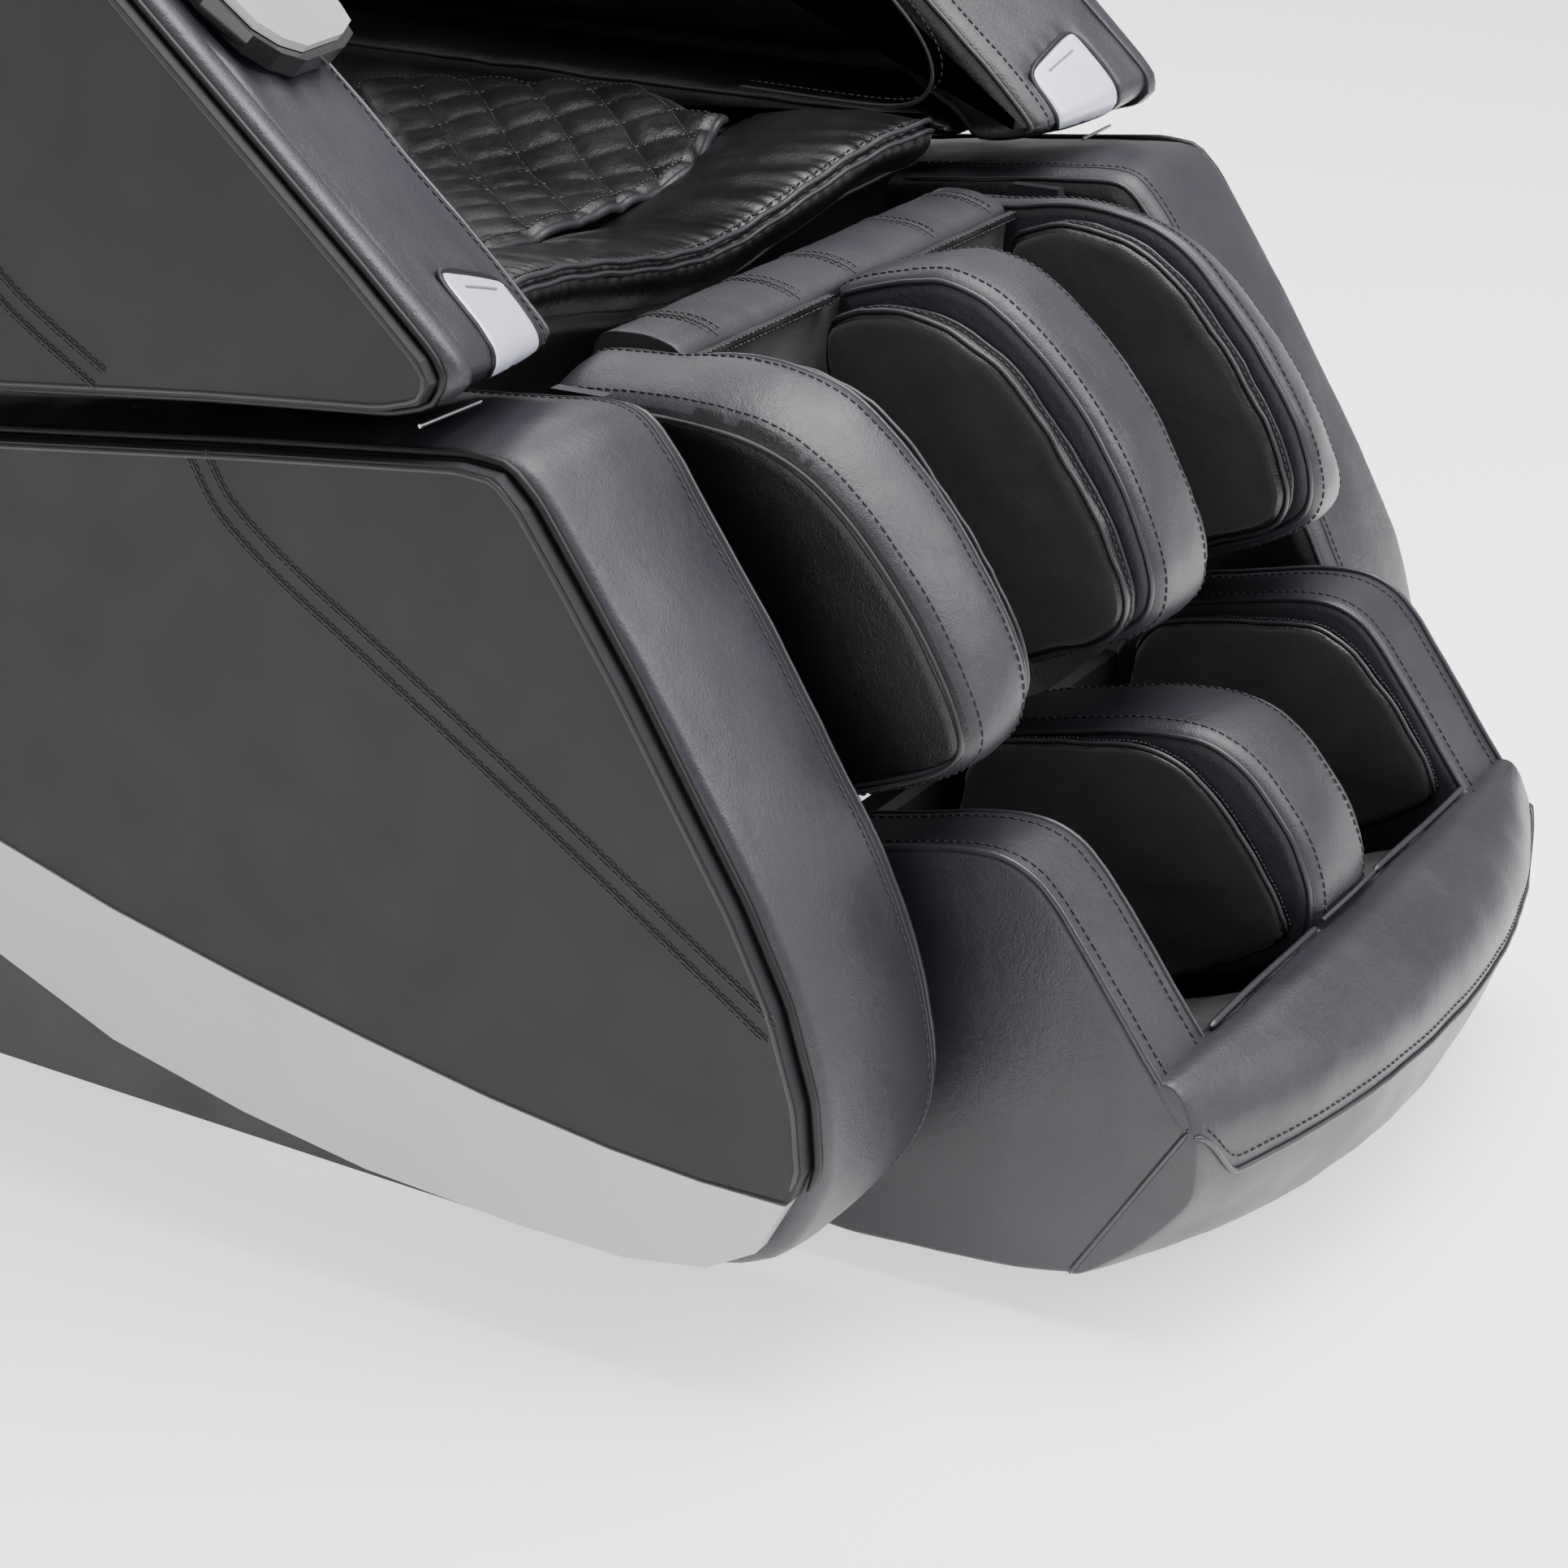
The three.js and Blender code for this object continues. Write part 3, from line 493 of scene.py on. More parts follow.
def grid(name, f, nu, nv, mat, body, closed_u=False, thick=None, **kw):
    """A sheet of points f(u, v), u and v from 0 to 1, thickened with a solidify modifier when thick is set."""
    pts = [[arr(f(i / nu, j / nv)) for j in range(nv + 1)] for i in range(nu + (0 if closed_u else 1))]
    ni = len(pts)
    verts = [p for row in pts for p in row]
    faces = []
    W = nv + 1
    for i in range(ni if closed_u else ni - 1):
        for j in range(nv):
            a, b = i * W + j, ((i + 1) % ni) * W + j
            faces.append((a, b, b + 1, a + 1))
    o = make(name, verts, faces, mat, body, **kw)
    if thick:
        s = o.modifiers.new("thick", "SOLIDIFY")
        s.thickness = thick * MM
        s.offset = -1
    return o


def keep(node, mat, bevel=0.0, seg=3, angle=32):
    """A CAD node that stays, with its own finish and softly broken edges."""
    o = NODES[node]
    if not o.material_slots:
        o.data.materials.append(mat)
    for sl in o.material_slots:
        sl.material = mat
    if bevel:
        b = o.modifiers.new("edge", "BEVEL")
        b.width = bevel * MM
        b.segments = seg
        b.limit_method = "ANGLE"
        b.angle_limit = math.radians(angle)
        b.harden_normals = False
    return o


def back(x, s, t):
    """Backrest frame: s up the back, t towards the rear."""
    return (x, 215 + 0.5 * s + 0.866 * t, 380 + 0.866 * s - 0.5 * t)


SIDES = (("R", -1), ("L", 1))


# ---------------------------------------------------------------- camera, light, floor
cam_data = bpy.data.cameras.new("camera")
cam = bpy.data.objects.new("camera", cam_data)
bpy.context.scene.collection.objects.link(cam)
cam.location = (-1.7432, -1.385, 0.985)
cam.rotation_mode = "QUATERNION"
cam.rotation_quaternion = Vector((0.8001, 0.4619, -0.3827)).to_track_quat("-Z", "Y")
cam_data.lens = 83.44
cam_data.sensor_width = 36
cam_data.clip_start, cam_data.clip_end = 0.05, 60
bpy.context.scene.camera = cam


def area(name, loc, aim, size, power, size_y=None, color=(1, 1, 1)):
    d = bpy.data.lights.new(name, "AREA")
    d.shape = "RECTANGLE"
    d.size, d.size_y = size, size_y or size
    d.energy = power
    d.color = color
    o = bpy.data.objects.new(name, d)
    o.location = loc
    o.rotation_mode = "QUATERNION"
    o.rotation_quaternion = (Vector(aim) - Vector(loc)).to_track_quat("-Z", "Y")
    bpy.context.scene.collection.objects.link(o)
    return o


area("key_overhead", (0.3, -0.9, 3.0), (0.0, -0.2, 0.4), 2.6, 205, 2.2)
area("front_softbox", (0.9, -3.2, 2.3), (0.0, -0.5, 0.3), 2.0, 92, 1.6)
area("side_fill", (-3.6, -0.6, 1.6), (-0.3, -0.1, 0.4), 2.6, 34, 2.0)
area("rear_fill", (2.6, 2.4, 2.2), (0.0, 0.3, 0.6), 2.2, 70)

world = bpy.data.worlds.new("studio")
bpy.context.scene.world = world
world.use_nodes = True
bg = world.node_tree.nodes["Background"]
bg.inputs[0].default_value = (1, 1, 1, 1)
bg.inputs[1].default_value = 0.52

fm, fnt, fb, fvec = new_mat("m_floor")
fn = nd(fnt, "ShaderNodeTexNoise", {"Scale": 1.5, "Detail": 2})
fnt.links.new(fvec, fn.inputs["Vector"])
fnt.links.new(ramp(fnt, fn.outputs[0], [(0.3, (0.93, 0.93, 0.93, 1)), (0.7, (0.95, 0.95, 0.95, 1))]), fb.inputs["Base Color"])
fb.inputs["Roughness"].default_value = 0.9
fb.inputs["Specular IOR Level"].default_value = 0.1
fb.inputs["Emission Color"].default_value = (1, 1, 1, 1)
fb.inputs["Emission Strength"].default_value = 1.1
fme = bpy.data.meshes.new("floor")
fme.from_pydata([(-14, -14, -0.001), (14, -14, -0.001), (14, 14, -0.001), (-14, 14, -0.001)], [], [(0, 1, 2, 3)])
floor = bpy.data.objects.new("floor", fme)
bpy.context.scene.collection.objects.link(floor)
fme.materials.append(fm)

# ---------------------------------------------------------------- outlines (y, z) shared with the solids
POD = [[450, 410], [400, 402], [300, 402], [150, 414], [0, 429], [-152, 446], [-308, 464], [-434, 477], [-462, 477], [-480, 461], [-508, 419], [-535, 379], [-566, 328], [-597, 276], [-620, 228], [-633, 180], [-636, 141], [-627, 113], [-607, 83], [-573, 66], [-520, 61], [-457, 61], [-361, 68], [-282, 81], [-196, 102], [-120, 135], [0, 188], [100, 235], [200, 283], [300, 331], [400, 377], [450, 399]]
POD_PANEL = [[392, 394], [300, 390], [150, 405], [0, 421], [-152, 438], [-308, 456], [-434, 469], [-456, 467], [-470, 453], [-496, 414], [-522, 374], [-552, 323], [-583, 271], [-605, 225], [-619, 177], [-621.5, 142], [-615, 126], [-564, 125.5], [-512, 129.5], [-440, 139.5], [-365, 153.5], [-288, 169.5], [-203, 189.5], [-127, 212.5], [0, 258], [100, 299], [200, 336], [300, 368]]
ARM_IN = [[-352, 481], [-385, 484], [-403, 490], [-408, 498], [-401, 506], [-373, 534], [-168, 719], [-134, 742], [-84, 762], [0, 776], [150, 790], [300, 802], [335, 802], [335, 744], [150, 732], [0, 718], [-80, 702], [-130, 678], [-318, 508], [-346, 496]]
ARM_OUT = [[-352, 483], [-392, 487], [-420, 494], [-430, 504], [-428, 515], [-421, 523], [-176, 747], [-142, 771], [-92, 790], [0, 804], [150, 818], [300, 830], [335, 830], [335, 764], [150, 750], [0, 736], [-80, 718], [-128, 692], [-318, 522], [-346, 502]]
ARM_PANEL = [[-421, 507], [-416, 517], [-377, 554], [-246, 672], [-172, 738], [-138, 761], [-88, 780], [0, 793], [150, 807], [300, 819], [322, 818], [327, 806], [327, 460], [316, 450], [300, 446], [150, 450], [0, 457], [-154, 467], [-285, 481], [-392, 490], [-414, 496]]
ARM_PAD = [[-346, 484], [-346, 494], [-318, 504], [0, 506], [335, 510], [335, 446], [300, 434], [150, 439], [0, 448], [-153, 460], [-285, 477]]
CALF_WALL = [[-371, 402], [-369, 445], [-378, 458], [-428, 464], [-454, 482], [-493, 483], [-526, 476], [-552, 459], [-578, 431], [-601, 402], [-617, 378], [-631, 353], [-638, 327], [-637, 311], [-627, 296], [-600, 281], [-490, 239], [-455, 235]]
CALF_DIV = [[-485.2, 487], [-497, 491], [-525, 484], [-553, 464], [-575, 444], [-596, 418], [-615, 388], [-628, 358], [-635, 336], [-635, 316], [-627, 302], [-604, 288], [-500, 248], [-425.2, 423.9], [-481.2, 461.3]]
AIRBAG = [[-434, 423], [-484, 456], [-492, 466], [-520, 462], [-545, 446], [-568, 421], [-590, 392], [-605, 369], [-617, 347], [-624, 326], [-622, 308], [-610, 298], [-504, 260]]
FOOT_SIDE = [[-532, 236], [-573, 245], [-638, 257], [-667, 248], [-700, 207], [-741, 152], [-753, 130], [-690, 33], [-650, 23], [-536, 17], [-515, 30], [-490, 110], [-500, 200]]
FOOT_DIV = [[-520, 228], [-550, 238], [-588, 247], [-625, 255], [-658, 257], [-679, 251], [-698, 239], [-714, 221], [-730, 198], [-741, 165], [-733, 119.5], [-528, 43.8], [-514, 120], [-517, 200]]

# ---------------------------------------------------------------- base body: frame, covers, pods
for n in ("base_frame", "seat_frame"):
    keep(n, STEEL, 1.2, 2)
for n in ("tilt_shaft", "back_shaft", "legrest_shaft"):
    keep(n, SHAFT, 0.8, 2)
keep("rear_housing", SHELLM, 5, 4)
keep("rocker_switch", GLOSS, 0.8, 2)
for n in ("leveling_foot_R", "leveling_foot_L"):
    keep(n, RUBBER, 1.5, 3)
for n in ("caster_wheel_R", "caster_wheel_L"):
    keep(n, RUBBER, 2.0, 3)


def rows_on_panel(name, centre, x, body, gaps=(-7.5, -3.8, 3.8, 7.5)):
    """Parallel stitch rows with a shallow rib between each pair, on a face of constant x."""
    c = smooth_path(centre, 2.0)
    t = np.gradient(c, axis=0)
    t /= np.linalg.norm(t, axis=1, keepdims=True)
    nn = np.stack([-t[:, 1], t[:, 0]], axis=1)
    lines = []
    for g in gaps:
        q = c + nn * g
        lines.append([(x, a, b) for a, b in q])
    stitches(name + "_stitch", lines, body, pitch=4.6, length=3.4, r=0.5)
    for k, g in enumerate(((gaps[0] + gaps[1]) / 2, (gaps[2] + gaps[3]) / 2)):
        q = c + nn * g
        tube(f"{name}_rib_{k}", [(x - math.copysign(0.35, x), a, b) for a, b in q], 1.1, PANEL, body, flat=1.0)


for tag, sg in SIDES:
    w = Wrap(POD, 275, 392.6, sg, ra=15, rb=7, crown=5, soft=3, step=7, wrinkle=0.9, wscale=0.02, presoft=1)
    w.build("pod_band_" + tag, GREYW, "base", dome=(None, None), pad=0.8, node="pod_shell_" + tag)
    front = lambda y, z: y < -300
    tube("pod_inner_piping_" + tag, w.line(279.5, front, 0.6), 1.9, PIPE, "base")
    tube("pod_seam_" + tag, w.line(291, front, 0.0), 0.7, THREAD, "base")
    stitches("pod_inner_stitch_" + tag, [w.line(295.5, front, 0.25)], "base")
    keep("pod_panel_" + tag, PANEL, 1.6, 3)
    keep("swoosh_trim_" + tag, SILVER, 1.2, 3)
    keep("base_cover_" + tag, COVER, 4, 4)
    q = Wrap(POD_PANEL, 393, 404, sg, ra=1, rb=1, crown=0, soft=1, step=7)
    up = [(-620, 170)]
    lipc = lambda y, z: not (z < 250 and y > -612 and z < 300 and not y < -612) and not (y > -100 and z < 372)
    edge = q.P - q.N * 2.6
    idx = q.run(lambda y, z: (z > 0.1 * (-y) + 380) or (y < -470 and z > 128) or (y < -445 and z > 300))
    tube("pod_panel_lip_" + tag, [(sg * 403.6, *edge[i]) for i in idx], 1.7, SHELLM, "base")
    g = q.P + q.N * 3.4
    tube("pod_groove_" + tag, [(sg * 393.4, *g[i]) for i in idx], 2.6, GASKET, "base")
    rows_on_panel("pod_rows_" + tag, [(-279, 452), (-286, 437), (-295, 424), (-325, 400), (-376, 368), (-470, 307), (-561, 245), (-606, 214)], sg * 404.2, "base")

# slim metal rule on the pod top
for tag, sg in SIDES:
    tube("pod_rule_" + tag, [(sg * 385, -400, 478.6), (sg * 362, -402, 479.2), (sg * 338, -403, 479.2)], 1.1, SHAFT, "base", taper=False)

# rear housing dressings: vent slats, inlet pins, screws
for k in range(7):
    z = 140 + k * 7
    tube(f"rear_vent_{k}", [(-190, 470.2, z), (-120, 470.6, z), (-60, 470.2, z)], 1.6, GASKET, "base", taper=False)
    tube(f"rear_vent_b_{k}", [(90, 470.2, z), (150, 470.6, z), (220, 470.2, z)], 1.6, GASKET, "base", taper=False)
for k, x in enumerate((28, 35, 42)):
    tube(f"inlet_pin_{k}", [(x, 452, 188 + (3 if k == 1 else -2)), (x, 463, 188 + (3 if k == 1 else -2))], 1.2, CHROME, "base", taper=False)


def screw(name, c, r, axis, mat, body):
    """Domed round head with a cross recess, standing off a face along +-x or +-y."""
    verts, faces = [], []
    R, K = 14, [(1.0, 0.0), (0.98, 0.45), (0.8, 0.8), (0.45, 0.95), (0.3, 0.7), (0.12, 0.68)]
    for f, h in K:
        for k in range(R):
            a = 2 * math.pi * k / R
            rr = r * f * (1 if f > 0.5 else (1 + 0.5 * math.cos(4 * a)))
            u, v, n = rr * math.cos(a), rr * math.sin(a), r * 0.45 * h
            if abs(axis[0]) > 0.5:
                verts.append((c[0] + axis[0] * n, c[1] + u, c[2] + v))
            else:
                verts.append((c[0] + u, c[1] + axis[1] * n, c[2] + v))
    for j in range(len(K) - 1):
        for k in range(R):
            a, b = j * R + k, j * R + (k + 1) % R
            faces.append((a, b, b + R, a + R))
    faces.append(tuple(range((len(K) - 1) * R, len(K) * R)))
    faces.append(tuple(reversed(range(R))))
    return make(name, verts, faces, mat, body, smooth=50)


for k, (x, z) in enumerate(((-260, 140), (260, 140), (-255, 205), (255, 205), (-20, 205), (-20, 140))):
    screw(f"rear_screw_{k}", (x, 470, z), 4.2, (0, 1), STEEL, "base")

# ---------------------------------------------------------------- arms
def lerp_outline(x):
    t = min(1.0, max(0.0, (x - 269) / (379.6 - 269)))
    return arr(ARM_IN) * (1 - t) + arr(ARM_OUT) * t


def arm_rings():
    """Rings of the arm top at each width station, every ring with the same number of points."""
    base = (arr(ARM_IN) + arr(ARM_OUT)) / 2
    n = len(base)
    par = []
    for i in range(n):
        L = np.linalg.norm(base[(i + 1) % n] - base[i])
        k = max(1, int(math.ceil(L / 8)))
        for j in range(k):
            par.append((i, j / k))

    def ring(x):
        o = lerp_outline(x)
        p = arr([o[i] * (1 - f) + o[(i + 1) % n] * f for i, f in par])
        for _ in range(4):
            p = 0.5 * p + 0.25 * (np.roll(p, 1, axis=0) + np.roll(p, -1, axis=0))
        return p
    return ring


ARM_RING = arm_rings()
ARM_PROF = edge_profile(269, 395.6, 13, 9, 3.5, 3.6)


def arm_inset(x):
    return float(np.interp(x, [q[0] for q in ARM_PROF], [q[1] for q in ARM_PROF]))


def arm_point(i, x, sg, lift=0.0, recess=True):
    p = ARM_RING(x)
    N = outward(p)
    i %= len(p)
    d = arm_inset(x) - lift
    q = p[i] - N[i] * d
    if recess:
        q = q + N[i] * wr(x * sg, q[0], q[1], 0.8, 0.022, 3.0)
    return (x * sg, q[0], q[1])


def cap_run():
    """Ring points near the arm nose, in order from the upper edge round the nose."""
    P = ARM_RING(322.0)
    runs, cur = [], []
    for k in range(2 * len(P)):
        i = k % len(P)
        if P[i][0] < -352 and P[i][1] < 584:
            cur.append(i)
        elif cur:
            runs.append(cur)
            cur = []
    run = max(runs, key=len)
    if P[run[0]][1] < P[run[-1]][1]:
        run = run[::-1]
    return run


CAP_RUN = cap_run()
CAP_Y0 = -387.0
CAP_MEMO = {}


def cap_arc(x):
    """Distance along the ring from the line y = -387 on the upper face, for every point of the run, and the run's points."""
    x = round(x, 3)
    if x not in CAP_MEMO:
        P = ARM_RING(x)
        pts = [P[i] for i in CAP_RUN]
        d = [0.0]
        for a, b in zip(pts[:-1], pts[1:]):
            d.append(d[-1] + float(np.linalg.norm(b - a)))
        top = 0.0
        for k in range(len(pts) - 1):
            if pts[k][0] >= CAP_Y0 > pts[k + 1][0]:
                f = (pts[k][0] - CAP_Y0) / (pts[k][0] - pts[k + 1][0])
                top = d[k] + f * (d[k + 1] - d[k])
                break
        CAP_MEMO[x] = [v - top for v in d]
    return CAP_MEMO[x]


def cap_end():
    """Index position on the run where the cap ends under the nose."""
    P = ARM_RING(322.0)
    nose = min(range(len(CAP_RUN)), key=lambda k: P[CAP_RUN[k]][0])
    for k in range(nose, len(CAP_RUN)):
        if P[CAP_RUN[k]][1] < 495.5:
            return k
    return len(CAP_RUN) - 1


CAP_KE = cap_end()
CAP_LEN = cap_arc(322.0)[CAP_KE]
CAP_U0, CAP_U1, CAP_HW, CAP_RC = 0.0, CAP_LEN, 28.5, 8.0
CAP_AT = {i: k for k, i in enumerate(CAP_RUN)}


def cap_zone(i, x):
    """How far into the cap's recess a ring point is, 0 to 1."""
    if i not in CAP_AT:
        return 0.0
    d = cap_arc(x)
    u = d[CAP_AT[i]] * CAP_LEN / d[CAP_KE]
    e = min(u - (CAP_U0 - 3), (CAP_U1 + 3) - u, CAP_HW + 3 - abs(x - 321.5))
    return min(1.0, max(0.0, e / 3.0))


for tag, sg in SIDES:
    verts, faces = [], []
    xs = [q[0] for q in ARM_PROF]
    rings = []
    for x, d in ARM_PROF:
        p = ARM_RING(x)
        N = outward(p)
        for _ in range(2):
            N = N + 0.6 * (np.roll(N, 1, axis=0) + np.roll(N, -1, axis=0))
            N /= np.linalg.norm(N, axis=1, keepdims=True)
        r = []
        for i in range(len(p)):
            c = cap_zone(i, x)
            dd = d + 3.2 * c
            g = math.exp(-((p[i][0] + 290 + (x - 330) * 0.25 - 8) / 14) ** 2) if p[i][1] > 560 else 0
            wv = wr(x * sg, p[i][0], p[i][1], 0.9, 0.022, 3.0) + 1.6 * g * math.sin(x / 4.2)
            q = p[i] - N[i] * (dd - wv * (1 - c))
            r.append((x * sg, q[0], q[1]))
        rings.append(r)
    M = len(rings[0])
    for r in rings:
        verts.extend(r)
    for j in range(len(rings) - 1):
        for i in range(M):
            a, b = j * M + i, j * M + (i + 1) % M
            faces.append((a, b, b + M, a + M))
    faces.append(tuple(range(M)))
    faces.append(tuple(range((len(rings) - 1) * M, len(rings) * M)))
    make("arm_top_pad_" + tag, verts, faces, GREYW, "seat", pad=0.85, node="arm_top_" + tag)

    # line of outline points over the top, from the nose round to the rear
    P0 = ARM_RING(269.0)
    top = [i for i in range(len(P0)) if (P0[i][1] > 500 + max(0, (P0[i][0] + 380)) * 0.62 and P0[i][0] < 330) or P0[i][0] < -396]
    # keep one contiguous run
    runs, cur = [], []
    for k in range(2 * len(P0)):
        if (k % len(P0)) in top:
            cur.append(k % len(P0))
        else:
            runs.append(cur)
            cur = []
    top = max(runs, key=lambda r: len(r) if len(r) <= len(P0) else 0)
    TOPRUN = top
    tube("arm_inner_piping_" + tag, [arm_point(i, 272.5, sg, 0.9) for i in top], 1.9, PIPE, "seat")
    stitches("arm_inner_stitch_" + tag, [[arm_point(i, 284, sg, 0.5) for i in top]], "seat", pitch=5.4)
    tube("arm_outer_piping_" + tag, [arm_point(i, 392.6, sg, 0.4) for i in top], 1.7, PIPE, "seat")
    sh = Wrap(ARM_OUT[:12] + [[335, 830], [337, 812], [337, 452], [330, 440], [300, 432], [150, 437], [0, 446], [-153, 458], [-285, 475]], 380.3, 395.2, sg, ra=1, rb=7, crown=0.8, soft=3, step=6)
    sh.build("arm_side_band_" + tag, GREYW, "seat", dome=(None, None), pad=0.9, node="arm_shell_" + tag)
    keep("arm_panel_" + tag, PANEL, 1.6, 3)
    q = Wrap(ARM_PANEL, 396, 405, sg, ra=1, rb=1, crown=0, soft=1, step=7)
    e = q.P - q.N * 2.4
    tube("arm_panel_lip_" + tag, [(sg * 404.2, *p) for p in e], 1.6, SHELLM, "seat", closed=True)
    g = q.P + q.N * 2.6
    tube("arm_groove_" + tag, [(sg * 396.2, *p) for p in g], 2.2, GASKET, "seat", closed=True)
    rows_on_panel("arm_rows_" + tag, [(160, 800), (20, 690), (-60, 615), (-110, 572), (-160, 519), (-187, 501), (-222, 480)], sg * 405.3, "seat")

# silver end caps wrapped over the arm noses
for tag, sg in SIDES:
    run = CAP_RUN

    def cap_pt(u, v, lift, sg=sg, run=run):
        """u along the wrap in mm from the upper edge, v across in mm from the middle."""
        x = 321.5 + v
        d = cap_arc(x)
        k = float(np.interp(u * d[CAP_KE] / CAP_LEN, d, range(len(d))))
        a, b, f = run[int(k)], run[min(len(run) - 1, int(k) + 1)], k - int(k)
        pr = ARM_RING(x)
        N = outward(pr)
        pa = pr[a] - N[a] * (arm_inset(x) - lift)
        pb = pr[b] - N[b] * (arm_inset(x) - lift)
        q = pa * (1 - f) + pb * f
        return (sg * x, q[0], q[1])

    U0, U1, HW, RC = CAP_U0, CAP_U1, CAP_HW, CAP_RC
    NU, NV = 26, 18

    def half(u):
        du = min(u - U0, U1 - u)
        return HW if du >= RC else HW - RC + math.sqrt(max(0.0, RC * RC - (RC - du) ** 2))

    verts, faces = [], []
    for k in range(NU + 1):
        s = k / NU
        u = U0 + (U1 - U0) * (0.5 - 0.5 * math.cos(math.pi * s))
        h = half(u)
        for j in range(NV + 1):
            c = -math.cos(math.pi * j / NV)
            v = h * c
            e = min(u - U0, U1 - u, HW - abs(v))
            lift = 0.9 - 1.8 * max(0.0, 1 - e / 2.2) ** 2
            if u > U1 - 9 and abs(v) < 3.4:
                lift -= 0.9 * min(1, (u - (U1 - 9)) / 3)
            verts.append(cap_pt(u, v, lift))
    for k in range(NU):
        for j in range(NV):
            a = k * (NV + 1) + j
            faces.append((a, a + 1, a + NV + 2, a + NV + 1))
    o = make("arm_end_cap_" + tag, verts, faces, CAPM, "seat", smooth=50, node="arm_cap_" + tag)
    s = o.modifiers.new("thick", "SOLIDIFY")
    s.thickness, s.offset = 2.2 * MM, -1
    ringp = []
    for k in range(72):
        a = 2 * math.pi * k / 72
        cu, cv = math.cos(a), math.sin(a)
        uu, vv = (U1 - U0) / 2 + 1.6, HW + 1.8
        e = 5.0
        u = (U0 + U1) / 2 + uu * math.copysign(abs(cu) ** (2 / e), cu)
        v = vv * math.copysign(abs(cv) ** (2 / e), cv)
        ringp.append(cap_pt(u, v, -0.9))
    tube("arm_cap_gasket_" + tag, ringp, 2.0, GASKET, "seat", closed=True)
    tube("arm_cap_tick_" + tag, [cap_pt(U0 + 9, v, 1.0) for v in (-14, -7, 0, 7, 14)], 0.8, TICK, "seat", taper=False)


# ---------------------------------------------------------------- lofted soft shapes
class Loft:
    """Closed (y, z) rings, one per width station, all with the same number of points."""

    def __init__(self, ring, prof, wrinkle=None):
        self.ring, self.prof, self.wrinkle = ring, prof, wrinkle

    def inset(self, x):
        return float(np.interp(x, [q[0] for q in self.prof], [q[1] for q in self.prof]))

    def section(self, x, lift=0.0):
        p = self.ring(x)
        N = outward(p)
        for _ in range(2):
            N = N + 0.6 * (np.roll(N, 1, axis=0) + np.roll(N, -1, axis=0))
            N /= np.linalg.norm(N, axis=1, keepdims=True)
        q = p - N * (self.inset(x) - lift)
        if self.wrinkle:
            w = arr([self.wrinkle(x, a, b) for a, b in q])
            q = q + N * w[:, None]
        return q

    def build(self, name, mat, body, **kw):
        rings = [[(x, a, b) for a, b in self.section(x)] for x, _ in self.prof]
        M = len(rings[0])
        verts = [v for r in rings for v in r]
        faces = []
        for j in range(len(rings) - 1):
            for i in range(M):
                a, b = j * M + i, j * M + (i + 1) % M
                faces.append((a, b, b + M, a + M))
        faces.append(tuple(range(M)))
        faces.append(tuple(range((len(rings) - 1) * M, len(rings) * M)))
        return make(name, verts, faces, mat, body, **kw)


def ring_from(pts_fn, soften=3, step=6):
    """A ring function with a fixed number of points, from control points that vary with x."""
    base = arr(pts_fn(0.0))
    n = len(base)
    par = []
    for i in range(n):
        L = np.linalg.norm(base[(i + 1) % n] - base[i])
        for j in range(max(1, int(math.ceil(L / step)))):
            par.append((i, j / max(1, int(math.ceil(L / step)))))

    def ring(x):
        o = arr(pts_fn(x))
        p = arr([o[i] * (1 - f) + o[(i + 1) % n] * f for i, f in par])
        for _ in range(soften):
            p = 0.5 * p + 0.25 * (np.roll(p, 1, axis=0) + np.roll(p, -1, axis=0))
        return p
    return ring


def S(t):
    t = min(1.0, max(0.0, t))
    return t * t * (3 - 2 * t)


def two_tone(o, other, test):
    """Faces for which test(normal, centre in mm) holds take the second finish."""
    o.data.materials.append(other)
    for f in o.data.polygons:
        if test(f.normal, f.center / MM):
            f.material_index = 1


# inner faces of the bands and the underside of the arm top are black leather, as is the outer side of the calf walls
for tag, sg in SIDES:
    o = bpy.data.objects["arm_top_pad_" + tag]
    two_tone(o, BLACK, lambda n, c: (n.x * sg < -0.6) or (n.z < -0.3 and abs(c.x) < 372))
    o = bpy.data.objects["pod_band_" + tag]
    two_tone(o, BLACK, lambda n, c: n.x * sg < -0.75)

for tag, sg in SIDES:
    w = Wrap(ARM_PAD, 272, 379.6, sg, ra=14, rb=3, crown=4, soft=2, step=8, wrinkle=1.2, wscale=0.025)
    w.build("arm_lower_pad_soft_" + tag, BLACK, "seat", dome=(None, None), pad=0.7, node="arm_lower_pad_" + tag)
    tube("arm_lower_piping_" + tag, w.line(275.5, lambda y, z: z > 490, 0.7), 1.8, PIPE, "seat")
    # airbag pad on the outer wall of the forearm channel
    d = Wrap([[-262, 520], [-200, 512], [300, 516], [322, 540], [322, 690], [300, 712], [150, 704], [0, 690], [-70, 672], [-120, 640]], 352, 379.5, sg, ra=12, rb=3, crown=3, soft=3, step=9, wrinkle=1.5, wscale=0.03)
    d.build("forearm_airbag_" + tag, BLACK, "seat", dome=(5, None), pad=0.6)
    tube("forearm_airbag_piping_" + tag, d.line(376, lambda y, z: y < 310, 0.6), 1.6, PIPE, "seat")
    # stitched front end of the channel
    e = smooth_path([(-190, 503), (-273, 501), (-308, 502), (-326, 510), (-332, 524), (-327, 540), (-312, 560), (-250, 617), (-180, 680)], 3)
    stitches("channel_stitch_" + tag, [[(sg * 268.6, a, b) for a, b in e + arr([-7, 5])]], "seat")
    tube("channel_piping_" + tag, [(sg * 269.4, a, b) for a, b in e], 1.6, PIPE, "seat")

# control pad on the near arm
keep("control_pad_base", GLOSS, 2.4, 4)
keep("control_pad_cover", SILVER, 1.6, 4)

